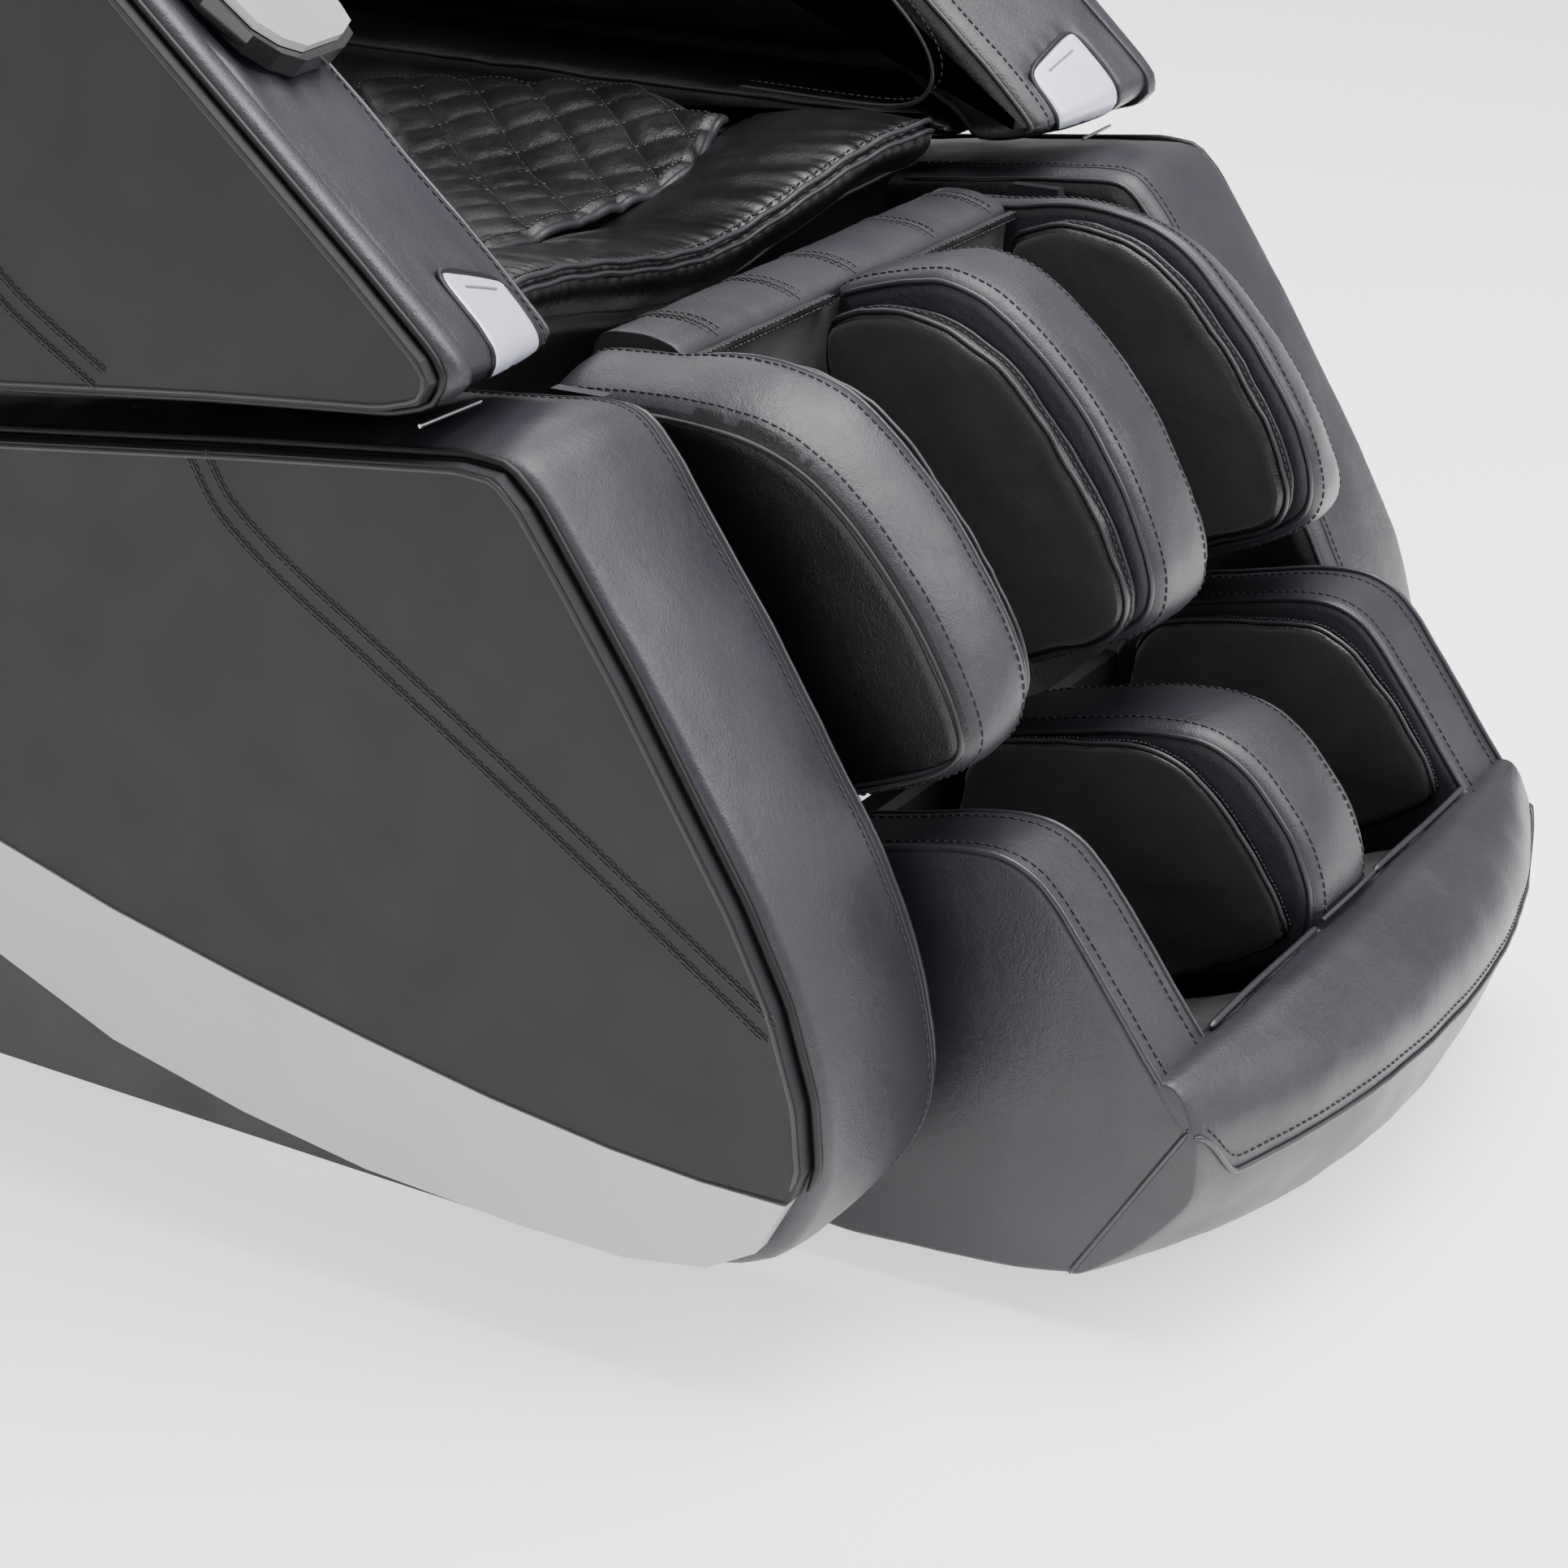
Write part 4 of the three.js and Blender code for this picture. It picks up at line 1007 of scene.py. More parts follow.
# ---------------------------------------------------------------- seat
def pillow_pts(x):
    a = abs(x)
    zt = 475 + 29 * S(a / 222)
    yp = -331 - 14 * min(1, a / 225) ** 2
    return [(-300, 404), (-306, 406), (-308, 420), (yp + 27, zt - 41), (yp + 11, zt - 30), (yp, zt - 21), (yp - 4, zt - 11), (yp + 1, zt - 1), (yp + 10, zt + 1),
            (yp + 45, zt + 2.5), (-255, zt - 1), (-222, zt - 8), (-202, 464), (-191, 458), (-188, 448), (-240, 444), (-296.6, 441.6)]


def pillow_wrinkle(x, y, z):
    a = abs(x)
    yp = -331 - 14 * min(1, a / 225) ** 2
    zt = 475 + 29 * S(a / 222)
    d = y - yp
    w = 0.0
    ph = x + 3.0 * noise.noise(Vector((x * 0.03, 1.7, 0))) * 4
    if z > zt - 5 and d > 0:
        w += 0.7 * math.exp(-((d - 9) / 9) ** 2) * math.sin(2 * math.pi * ph / 10.5)
        ridge = noise.noise(Vector(((x + 0.35 * d) * 0.045, y * 0.006, 3.1)))
        w += 3.2 * ridge * S(d / 22) * math.exp(-(d / 95) ** 2)
        w -= 1.6 * math.exp(-((d - 3.5) / 3.0) ** 2)
    elif z < zt:
        w += 0.55 * math.exp(-((zt - z - 8) / 8) ** 2) * math.sin(2 * math.pi * (ph + 3) / 12.5)
        w += 2.0 * noise.noise(Vector((x * 0.022, z * 0.02, 9.0)))
    return w


pl = Loft(ring_from(pillow_pts, 2, 4), edge_profile(-250, 250, 16, 16, 1.5, 2.6, 6), pillow_wrinkle)
pl.build("seat_front_pillow_soft", BLACK, "seat", smooth=60, pad=0.8, node="seat_front_pillow")
xs = np.linspace(-243, 243, 180)
edge, e2, e3 = [], [], []
for x in xs:
    a = abs(x)
    yp = -331 - 14 * min(1, a / 225) ** 2
    zt = 475 + 29 * S(a / 222)
    dd = pl.inset(x)
    wob = 0.5 * math.sin(x / 7.0)
    edge.append((x, yp - 0.6 + dd * 0.6, zt - dd * 0.7 + 0.4 + wob))
    e2.append((x, yp - 2.4 + dd * 0.6, zt - 5.6 - dd * 0.7 + wob))
    e3.append((x, yp + 6.5 + dd * 0.6, zt + 0.5 - dd * 0.7))
tube("seat_pillow_piping_a", edge, 1.9, PIPE, "seat")
tube("seat_pillow_piping_b", e2, 1.6, PIPE, "seat")
stitches("seat_pillow_stitch", [e3], "seat", pitch=5.0)
low = []
for x in np.linspace(-240, 240, 130):
    yp = -331 - 14 * min(1, abs(x) / 225) ** 2
    zt = 475 + 29 * S(abs(x) / 222)
    low.append((x, yp + 11 + pl.inset(x) * 0.6, zt - 29.5 + 0.6 * math.sin(x / 11) + pl.inset(x) * 0.3))
tube("seat_pillow_lower_seam", low, 1.5, PIPE, "seat")


def cushion_pts(x):
    z = 439 + 5 * math.cos(x / 252 * 1.4)
    return [(-294, 352), (-295, 396), (-294, 438), (-240, z), (-180, z - 1), (-20, z - 10), (110, z - 22), (150, 412), (170, 396), (171, 352)]


Loft(ring_from(cushion_pts, 4, 10), edge_profile(-250, 250, 16, 16, 4, 12), lambda x, y, z: wr(x, y, z, 1.2, 0.02)).build(
    "seat_cushion_soft", BLACK, "seat", smooth=60, pad=0.85, node="seat_cushion")


def mat_half(y):
    return 190 + 52 * S((y + 232) / 120)


def mat_front(x):
    return -246 + 20 * S((abs(x) - 110) / 80)


def mat_base(x, y):
    a = abs(x)
    side = 26 * S((a - 70) / 165)
    z = 483 + side - 0.075 * max(0, y + 190) - 7 * S((y - 60) / 40)
    if y < -200:
        z += (-200 - y) * 0.05
    return z


def mat_q(x, y):
    return (x + y) / 60.0, (x - y) / 47.0


def mat_top(x, y):
    q1, q2 = mat_q(x, y)
    b = min(1.0, abs(math.sin(math.pi * q1)) * 1.25) ** 0.55 * min(1.0, abs(math.sin(math.pi * q2)) * 1.25) ** 0.55
    return mat_base(x, y) - 2.0 + 3.4 * b + wr(x, y, 0, 0.8, 0.03)


def mat_pt(u, v):
    y = -246 + 340 * u
    h = mat_half(y)
    x = (2 * v - 1) * h
    y2 = y + 20 * S((abs(x) - 110) / 80) * max(0, 1 - u * 3)
    e = min(h - abs(x), (u * 340), 340 - u * 340)
    z = mat_top(x, y2) - 4.5 * max(0, 1 - e / 9) ** 2
    return (x, y2, z)


grid("seat_quilted_mat", mat_pt, 150, 190, MAT, "seat", smooth=None, thick=7, pad=0.5, node="seat_quilt_pad")
rim = [mat_pt(0, v) for v in np.linspace(0, 1, 60)] + [mat_pt(u, 1) for u in np.linspace(0.01, 1, 60)] + [mat_pt(1, v) for v in np.linspace(0.99, 0, 60)] + [mat_pt(u, 0) for u in np.linspace(0.99, 0.01, 60)]
tube("seat_mat_binding", [(x, y, z - 1.5) for x, y, z in rim], 3.0, PIPE, "seat", closed=True, taper=False)


def inset_rim(k):
    r = arr(rim)
    c = arr([0, -76, 0])
    out = []
    for x, y, z in r:
        h = mat_half(y)
        f = (h - k) / h
        out.append((x * f, -76 + (y + 76) * (1 - k / 170), 0))
    return [(x, y, mat_top(x, y) + 0.2) for x, y, _ in out]


rr = inset_rim(7)
lines = [rr + [rr[0]]]
for fam in (0, 1):
    for k in range(-12, 13):
        seg = []
        for t in np.linspace(-300, 300, 400):
            y = -76 + t * 0.6
            x = (k * 60.0 - y) if fam == 0 else (k * 47.0 + y)
            ok = mat_front(x) + 9 < y < 86 and abs(x) < mat_half(y) - 9
            if ok:
                seg.append((x, y, mat_top(x, y) + 0.35))
            elif len(seg) > 8:
                lines.append(seg)
                seg = []
            else:
                seg = []
        if len(seg) > 8:
            lines.append(seg)
stitches("seat_mat_stitch", lines, "seat", pitch=5.0, length=3.6, r=0.6)

# ---------------------------------------------------------------- legrest: calf unit
WALL_IN = [[-371, 402], [-369, 462], [-378, 475], [-428, 476], [-454, 483], [-493, 483], [-526, 476], [-552, 459], [-578, 431], [-601, 402], [-617, 378], [-631, 353], [-638, 327], [-637, 311], [-627, 296], [-600, 281], [-490, 239], [-455, 235]]
WALL_OUT = [[-371, 402], [-369, 445], [-378, 458], [-428, 461], [-462, 461], [-497, 457], [-522, 450], [-542, 439], [-565, 419], [-587, 393], [-608, 363], [-621, 339], [-631, 316], [-632, 305], [-626, 294], [-600, 281], [-490, 239], [-455, 235]]


def wall_ring_maker():
    n = len(WALL_IN)
    base = (arr(WALL_IN) + arr(WALL_OUT)) / 2
    par = []
    for i in range(n):
        k = max(2, int(math.ceil(np.linalg.norm(base[(i + 1) % n] - base[i]) / 5)))
        for j in range(k):
            par.append((i, j / k))

    def ring(x):
        t = min(1, max(0, (abs(x) - 188) / 59))
        o = arr(WALL_IN) * (1 - t) + arr(WALL_OUT) * t
        p = arr([o[i] * (1 - f) + o[(i + 1) % n] * f for i, f in par])
        for _ in range(14):
            p = 0.5 * p + 0.25 * (np.roll(p, 1, axis=0) + np.roll(p, -1, axis=0))
        return p
    return ring


WALL_RING = wall_ring_maker()
for tag, sg in SIDES:
    prof = edge_profile(188, 247, 11, 11, 4, 6)
    w = Loft(WALL_RING, prof if sg > 0 else [(-x, d) for x, d in prof][::-1], lambda x, y, z: wr(x, y, z, 0.9, 0.025))
    o = w.build("calf_wall_pad_" + tag, GREYW, "legrest", smooth=60, pad=0.8, node="calf_wall_" + tag)
    two_tone(o, BLACK, lambda n, c: n.x * sg > 0.75)
    fr = lambda y, z: (z > 446 and y < -376) or y < -500

    def wl(x, lift):
        sec = w.section(sg * x, lift)
        ok = [fr(*p) for p in WALL_RING(sg * x)]
        best, cur = [], []
        for k in range(2 * len(sec)):
            if ok[k % len(sec)]:
                cur.append(k % len(sec))
                if len(cur) > len(best) and len(cur) <= len(sec):
                    best = list(cur)
            else:
                cur = []
        return [(sg * x, sec[i][0], sec[i][1]) for i in best]

    tube("calf_wall_piping_o_" + tag, wl(245.4, 0.9), 1.9, PIPE, "legrest")
    tube("calf_wall_piping_i_" + tag, wl(190.0, 0.9), 1.8, PIPE, "legrest")
    stitches("calf_wall_stitch_" + tag, [wl(236.5, 0.3), wl(199, 0.3)], "legrest")
    # thread seam loop inset on the black outer face of the wall
    sc = [(sg * 246.6, p[0], p[1]) for p in WALL_RING(sg * 247)]
    cc = arr([sg * 246.6, -505, 350])
    side = [cc + (arr(p) - cc) * 0.94 for p in sc]
    tube("calf_side_seam_" + tag, [(sg * 247.2, p[1], p[2]) for p in side], 1.2, THREAD, "legrest", closed=True)
    a = Wrap([[-434, 423], [-434, 452], [-444, 461], [-470, 467], [-496, 466], [-520, 459], [-545, 443], [-568, 418], [-590, 389], [-605, 366], [-616, 345], [-622, 326], [-620, 309], [-608, 299], [-504, 260]],
             166, 187, sg, ra=8, rb=7, crown=1, soft=3, step=5, wrinkle=1.5, wscale=0.035, presoft=2)
    o = a.build("calf_airbag_out_" + tag, BLACK, "legrest", dome=(4.0, None), pad=0.5, node="calf_airbag_outer_" + tag)
    two_tone(o, FABRIC, lambda n, c: n.x * sg < -0.8)
    fa = lambda y, z: (z > 455) or (y < -505)
    tube("calf_airbag_out_piping_" + tag, a.line(171.5, fa, 0.8), 1.7, PIPE, "legrest")
    tube("calf_airbag_out_piping2_" + tag, a.line(184.5, fa, 1.0), 1.4, PIPE, "legrest")
    stitches("calf_airbag_out_stitch_" + tag, [a.line(178, fa, 0.35)], "legrest", pitch=5.0)
    b = Wrap([[-434, 423], [-434, 452], [-444, 461], [-470, 468], [-496, 467], [-520, 460], [-545, 444], [-568, 419], [-590, 390], [-605, 367], [-616, 345], [-622, 326], [-620, 309], [-608, 299], [-504, 260]],
             37, 57, sg, ra=7, rb=8, crown=1, soft=3, step=5, wrinkle=1.5, wscale=0.035, presoft=2)
    o = b.build("calf_airbag_in_" + tag, BLACK, "legrest", dome=(None, 4.0), pad=0.5, node="calf_airbag_inner_" + tag)
    two_tone(o, FABRIC, lambda n, c: n.x * sg > 0.8)
    tube("calf_airbag_in_piping_" + tag, b.line(52.5, fa, 0.8), 1.7, PIPE, "legrest")
    tube("calf_airbag_in_piping2_" + tag, b.line(39.5, fa, 1.0), 1.4, PIPE, "legrest")
    stitches("calf_airbag_in_stitch_" + tag, [b.line(46, fa, 0.35)], "legrest", pitch=5.0)

CD = [[-428.6, 468], [-428.6, 473], [-458, 483], [-485, 489], [-500, 490], [-525, 484], [-553, 464], [-575, 444], [-596, 418], [-615, 388], [-628, 358], [-635, 336], [-635, 316], [-627, 302], [-604, 288], [-500, 248], [-425.4, 423.9], [-425.4, 452]]
w = Wrap(CD, -36, 36, 1, ra=11, rb=11, crown=4, soft=3, step=5, wrinkle=1.0, wscale=0.025, presoft=2)
w.build("calf_divider_pad", GREYW, "legrest", dome=(None, None), pad=0.8, node="calf_divider")
fr = lambda y, z: (z > 470) or (y < -505)
for k, x in enumerate((-34, 34)):
    tube(f"calf_divider_piping_{k}", w.line(x, fr, 0.9), 1.9, PIPE, "legrest")
stitches("calf_divider_stitch", [w.line(-25.5, fr, 0.35), w.line(25.5, fr, 0.35)], "legrest")


def yoke_pts(x):
    return [(-371, 402), (-368, 440), (-369.5, 467), (-379, 476.5), (-402, 477.5), (-420, 473.5), (-427.5, 467), (-424.5, 452), (-424, 424), (-496.2, 254), (-490, 240.6), (-455, 235.5)]


yk = Loft(ring_from(yoke_pts, 2, 6), edge_profile(-186.8, 186.8, 1, 1, 0, 6), lambda x, y, z: wr(x, y, z, 0.7, 0.03))
o = yk.build("calf_yoke_pad", GREYW, "legrest", smooth=50, pad=0.7)
two_tone(o, FABRIC, lambda n, c: c.y < -421 + (c.z - 424) * 0.02 and c.z < 462 and n.y < 0.2)
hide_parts("calf_back")
# guide blocks of the lift rods, as rounded housings
for k, x in enumerate((-120, 120)):
    Wrap([[-456, 260], [-434, 306], [-383, 284], [-404, 236]], x - 17.6, x + 17.6, 1, ra=4, rb=4, crown=0, soft=1, step=5).build(
        f"lift_guide_{k}", SHELLM, "legrest", dome=(None, None))


def yoke_top(x, y):
    sec = yk.section(x)
    up = [p for p in sec if p[1] > 464 and -424 < p[0] < -371]
    up.sort(key=lambda p: p[0])
    return float(np.interp(y, [p[0] for p in up], [p[1] for p in up]))


lines = []
YSEAM = (-148, -61, 2, 96, 168)
for xc in YSEAM:
    for off in (-5.5, -2, 2, 5.5):
        lines.append([(xc + off, y, yoke_top(xc, y) + 0.3) for y in np.linspace(-422, -373, 24)])
stitches("yoke_cross_stitch", lines, "legrest", pitch=4.4, length=3.1)
for k, xc in enumerate(YSEAM):
    tube(f"yoke_rib_{k}", [(xc, y, yoke_top(xc, y) - 0.2) for y in np.linspace(-424, -372, 26)], 1.1, THREAD, "legrest")
# zipper along the rear edge of each well
for tag, x0, x1 in (("R", -186, -37), ("L", 37, 186)):
    xs = np.linspace(x0, x1, 60)
    tube("well_zip_tape_" + tag, [(x, -429.5 - 0.6 * math.sin(x / 9), 465.5) for x in xs], 3.0, ZIP, "legrest")
    lines = [[(x, -432.3, 467.4) for x in xs], [(x, -432.3, 463.6) for x in xs]]
    stitches("well_zip_teeth_" + tag, lines, "legrest", pitch=2.6, length=1.6, r=0.8, mat=ZIP)

# ---------------------------------------------------------------- footrest
FS2 = [[-532, 236], [-573, 245], [-612, 254], [-638, 257], [-656, 254], [-673, 243], [-700, 207], [-738, 152], [-752, 135], [-756, 130], [-753, 125], [-697, 36], [-693, 31], [-688, 30], [-650, 23], [-536, 17], [-515, 30], [-490, 110], [-500, 200]]


def foot_in(y, z):
    return (z > 215 and y < -532) or (y < -660 and z > 132)


for tag, sg in SIDES:
    w = Wrap(FS2, 188.4, 249.6, sg, ra=7, rb=3.5, crown=0.3, soft=3, step=5, wrinkle=0.5, wscale=0.022, presoft=1)
    o = w.build("foot_side_pad_" + tag, GREYW, "footrest", dome=(None, None), pad=0.85, node="foot_side_" + tag)
    tube("foot_side_piping_o_" + tag, w.line(247.5, foot_in, 0.9), 1.9, PIPE, "footrest")
    tube("foot_side_piping_i_" + tag, w.line(190.4, foot_in, 0.9), 1.9, PIPE, "footrest")
    stitches("foot_side_stitch_" + tag, [w.line(238, foot_in, 0.35), w.line(200, foot_in, 0.35)], "footrest")
    # airbag layers inside the foot well
    for j, (x0, x1, sh) in enumerate(((176, 188, 0), (39.4, 50, 1))):
        al = Wrap([[-522, 120], [-520, 222], [-575, 234], [-632, 243], [-660, 236], [-690, 205], [-718, 165], [-724, 140], [-560, 62]],
                  x0, x1, sg, ra=4 if j else 5, rb=4, crown=0.5, soft=3, step=5, wrinkle=1.2, wscale=0.04, presoft=2)
        o = al.build(f"foot_airbag_{j}_{tag}", BLACK, "footrest", dome=((2.5, None) if j == 0 else (None, 2.5)), pad=0.5)
        two_tone(o, FABRIC, lambda n, c: (abs(n.x) > 0.75))
        c = lambda y, z: z > 205 or (y < -655 and z > 150)
        tube(f"foot_airbag_piping_{j}_{tag}", al.line((x0 + x1) / 2 + (-2 if j == 0 else 2), c, 0.8), 1.6, PIPE, "footrest")
        zx = (x1 - 1.0) if j == 0 else (x0 + 1.0)
        stitches(f"foot_zip_{j}_{tag}", [al.line(zx, c, 1.5), al.line(zx + (0.9 if j else -0.9), c, 1.6)], "footrest", pitch=2.6, length=1.7, r=0.8, mat=ZIP)

w = Wrap(FOOT_DIV, -39, 39, 1, ra=11, rb=11, crown=4, soft=3, step=5, wrinkle=0.9, wscale=0.022, presoft=2)
w.build("foot_divider_pad", GREYW, "footrest", dome=(None, None), pad=0.85, node="foot_divider")
for k, x in enumerate((-37, 37)):
    tube(f"foot_divider_piping_{k}", w.line(x, foot_in, 0.9), 1.9, PIPE, "footrest")
stitches("foot_divider_stitch", [w.line(-27.5, foot_in, 0.35), w.line(27.5, foot_in, 0.35)], "footrest")


def toe_pts(x):
    k = (abs(x) / 250) ** 2.2
    b = 13
    return [(-742 + b, 153), (-753.5 + b, 131), (-691.5 + b, 32.5), (-765 + 68 * k, 27.5 + 4 * k), (-783 + 54 * k, 44 + 12 * k), (-795 + 36 * k, 70 + 20 * k), (-804 + 44 * k, 98 + 15 * k),
            (-805 + 46 * k, 119 + 9 * k), (-796 + 42 * k, 134 + 5 * k), (-779 + 28 * k, 147.0), (-759 + 14 * k, 158 - 4 * k)]


tp = Loft(ring_from(toe_pts, 3, 6), edge_profile(-249.3, 249.3, 1.2, 1.2, 0, 6, 2), lambda x, y, z: wr(x, y, z, 1.0, 0.02) * min(1, (250 - abs(x)) / 20))
o = tp.build("toe_panel_pad", GREYW, "footrest", smooth=60, pad=0.85, node="toe_panel")


def toe_line(zt, x0=-243, x1=243, lift=0.4, n=140):
    """Along the front of the toe panel at height zt."""
    out = []
    for x in np.linspace(x0, x1, n):
        sec = tp.section(x, lift)
        front = [p for p in sec if p[0] < -748 + 0 * x and p[1] < 150 or p[0] < -700 and p[1] < 60]
        best = None
        M = len(sec)
        zz = zt
        for i in range(M):
            a, b = sec[i], sec[(i + 1) % M]
            if (a[1] - zz) * (b[1] - zz) <= 0 and abs(b[1] - a[1]) > 1e-6:
                f = (zz - a[1]) / (b[1] - a[1])
                y = a[0] + (b[0] - a[0]) * f
                if best is None or y < best:
                    best = y
        if best is not None:
            out.append((x, best, zz))
    return out




def toe_seam(off, x0=-249, x1=249, lift=0.5):
    out = []
    for x in np.linspace(x0, x1, 170):
        zt = 99 + off + 29 * S((abs(x) - 218) / 31)
        sec = tp.section(x, lift)
        M = len(sec)
        best = None
        for i in range(M):
            a, b = sec[i], sec[(i + 1) % M]
            if (a[1] - zt) * (b[1] - zt) <= 0 and abs(b[1] - a[1]) > 1e-6:
                y = a[0] + (b[0] - a[0]) * (zt - a[1]) / (b[1] - a[1])
                if best is None or y < best:
                    best = y
        if best is not None:
            out.append((x, best, zt))
    return out


tube("toe_lower_piping", toe_seam(0), 1.8, PIPE, "footrest")
stitches("toe_lower_stitch", [toe_seam(8, -240, 240)], "footrest")
# seams where the side bands and the divider meet the toe panel
for tag, sg in SIDES:
    tube("toe_band_seam_" + tag, [(sg * 189, -743, 153.5), (sg * 215, -747, 149.5), (sg * 236, -751, 141), (sg * 249, -755.5, 131)], 1.5, THREAD, "footrest", taper=False)
tube("toe_divider_seam", [(-38, -739, 159), (0, -741, 161), (38, -739, 159)], 1.4, THREAD, "footrest", taper=False)
for tag, sg in SIDES:
    e = smooth_path([(-755, 130), (-724, 81), (-693, 32)], 3)
    tube("toe_side_seam_" + tag, [(sg * 249.6, a, b) for a, b in e], 1.5, PIPE, "footrest")


def sole_pt(u, v, x0, x1):
    x = x0 + (x1 - x0) * v
    y = -545 - 188 * u
    z = 47.5 + (118 - 47.5) * u
    m = (x0 + x1) / 2
    hump = 7 * math.exp(-(((x - m) / 26) ** 2 + ((y + 640) / 30) ** 2))
    ringh = -1.6 * math.exp(-((math.hypot(x - m, y + 640) - 38) / 5) ** 2)
    e = min(x - x0, x1 - x, 188 * min(u, 1 - u) + 3)
    return (x, y, z + hump + ringh + wr(x, y, z, 1.2, 0.03) - 2.0 * max(0, 1 - e / 8))


for tag, x0, x1 in (("R", -187.6, -39.6), ("L", 39.6, 187.6)):
    o = grid("foot_sole_cloth_" + tag, lambda u, v: sole_pt(u, v, x0, x1), 60, 48, FABRIC, "footrest", smooth=None, thick=4, pad=0.4)
    if tag == "R":
        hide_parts("foot_sole")
    xs = np.linspace(x0 + 3, x1 - 3, 50)
    tube("toe_well_piping_" + tag, [(x, -737.5, 157 + 0.8 * math.sin(x / 30)) for x in xs], 2.0, PIPE, "footrest")
    stitches("toe_well_zip_" + tag, [[(x, -733, 150) for x in xs], [(x, -731.5, 147.5) for x in xs]], "footrest", pitch=2.6, length=1.7, r=0.8, mat=ZIP)
    # cloth wall on the toe side of each well
    grid("foot_well_toe_cloth_" + tag, lambda u, v: (x0 + (x1 - x0) * v, -733.5 - 6.5 * u + 1.2 * noise.noise(Vector((x0 * v * 0.1, u * 3, 2))), 117 + 37 * u), 10, 40, FABRIC, "footrest", smooth=None, thick=2.0)
keep("foot_base", SHELLM, 1.5, 2)
for n in ("foot_roller_R", "foot_roller_L", "massage_roller_R", "massage_roller_L"):
    keep(n, ROLLER, 1.5, 3)


# ---------------------------------------------------------------- backrest
def bk(x, s, t):
    return back(x, s, t)


def bk_frame(x, a, b):
    return back(x, a, b)


def interp(table, v):
    return float(np.interp(v, [q[0] for q in table], [q[1] for q in table]))


SMAX = [(0, 1016), (100, 1012), (200, 998), (296, 962), (356, 900), (390, 820), (400, 740)]
SMIN = [(0, 112), (262, 340), (300, 344), (356, 366), (392, 408), (400, 460)]
BOL = [[372, -24], [372, -54], [440, -95], [540, -106], [585, -147], [630, -178], [700, -186], [760, -175], [810, -138], [850, -110], [920, -90], [970, -62], [988, -24]]


def bolster_pts(x):
    a = abs(x)
    s0, s1 = max(374, interp(SMIN, a) + 6), interp(SMAX, a) - 8
    k = 1 - 0.32 * S((a - 330) / 62)
    return [(s0 + (s - 372) / (988 - 372) * (s1 - s0), -24 + (t + 24) * k) for s, t in BOL]


class BLoft(Loft):
    def build(self, name, mat, body, **kw):
        rings = [[back(x, a, b) for a, b in self.section(x)] for x, _ in self.prof]
        M = len(rings[0])
        verts = [v for r in rings for v in r]
        faces = []
        for j in range(len(rings) - 1):
            for i in range(M):
                a, b = j * M + i, j * M + (i + 1) % M
                faces.append((a, b, b + M, a + M))
        faces.append(tuple(range(M)))
        faces.append(tuple(range((len(rings) - 1) * M, len(rings) * M)))
        return make(name, verts, faces, mat, body, **kw)


for tag, sg in SIDES:
    base_ring = ring_from(lambda x: bolster_pts(x if abs(x) > 200 else 300), 4, 9)
    prof = edge_profile(243, 390, 20, 22, 6, 8)
    if sg < 0:
        prof = [(-x, d) for x, d in prof][::-1]
    bl = BLoft(base_ring, prof, lambda x, y, z: wr(x, y, z, 1.8, 0.018))
    bl.build("shoulder_bolster_soft_" + tag, GREYW, "backrest", smooth=60, pad=0.8, node="shoulder_bolster_" + tag)
    for k, xx in enumerate((252, 380)):
        sec = bl.section(sg * xx, 0.8)
        ln = [back(sg * xx, a, b) for a, b in sec if b < -40]
        st = [back(sg * (xx + (10 if k == 0 else -10)), a, b) for a, b in bl.section(sg * (xx + (10 if k == 0 else -10)), 0.3) if b < -40]
        tube(f"bolster_piping_{k}_{tag}", ln, 1.9, PIPE, "backrest")
        stitches(f"bolster_stitch_{k}_{tag}", [st], "backrest")


def bp_half(s):
    return interp([(44, 228), (60, 235), (870, 235), (918, 214), (946, 150), (957, 60)], s)


CH = (190, 330, 470, 610, 740)


def bp_t(x, s):
    """Front face of the back pad: crowned panels between sewn cross channels and two long side channels."""
    h = bp_half(s)
    t = -108 - 10 * math.cos(min(1, abs(x) / 235) * 1.4)
    for c in CH:
        cs = c + 26 * (1 - (x / 150) ** 2) if abs(x) < 150 else c
        t += 13 * math.exp(-((s - cs) / 8.0) ** 2) * (1 if abs(x) < 158 else 0.35)
    t += 14 * math.exp(-((abs(x) - 158) / 7.0) ** 2)
    e = min(h - abs(x), s - 44, 957 - s)
    t += 38 * max(0.0, 1 - max(0, e) / 34) ** 2.4
    t += wr(x, s, 0, 1.8, 0.02, 5)
    t += 0.8 * math.exp(-((abs(x) - 158) / 22) ** 2) * math.sin(s / 4.5) * (1 - math.exp(-((abs(x) - 158) / 7.0) ** 2))
    return t


verts, faces = [], []
NU, NV = 150, 84
for i in range(NU + 1):
    s = 44 + (957 - 44) * (0.5 - 0.5 * math.cos(math.pi * i / NU)) * 0.5 + (957 - 44) * 0.5 * i / NU
    h = bp_half(s)
    for j in range(NV + 1):
        v = -math.cos(math.pi * j / NV) * 0.4 + (2 * j / NV - 1) * 0.6
        verts.append(back(h * v, s, bp_t(h * v, s)))
nf = len(verts)
for i in range(NU + 1):
    s = 44 + (957 - 44) * (0.5 - 0.5 * math.cos(math.pi * i / NU)) * 0.5 + (957 - 44) * 0.5 * i / NU
    h = bp_half(s)
    for j in range(NV + 1):
        v = -math.cos(math.pi * j / NV) * 0.4 + (2 * j / NV - 1) * 0.6
        verts.append(back(h * v * 0.99, s, -64))
W = NV + 1
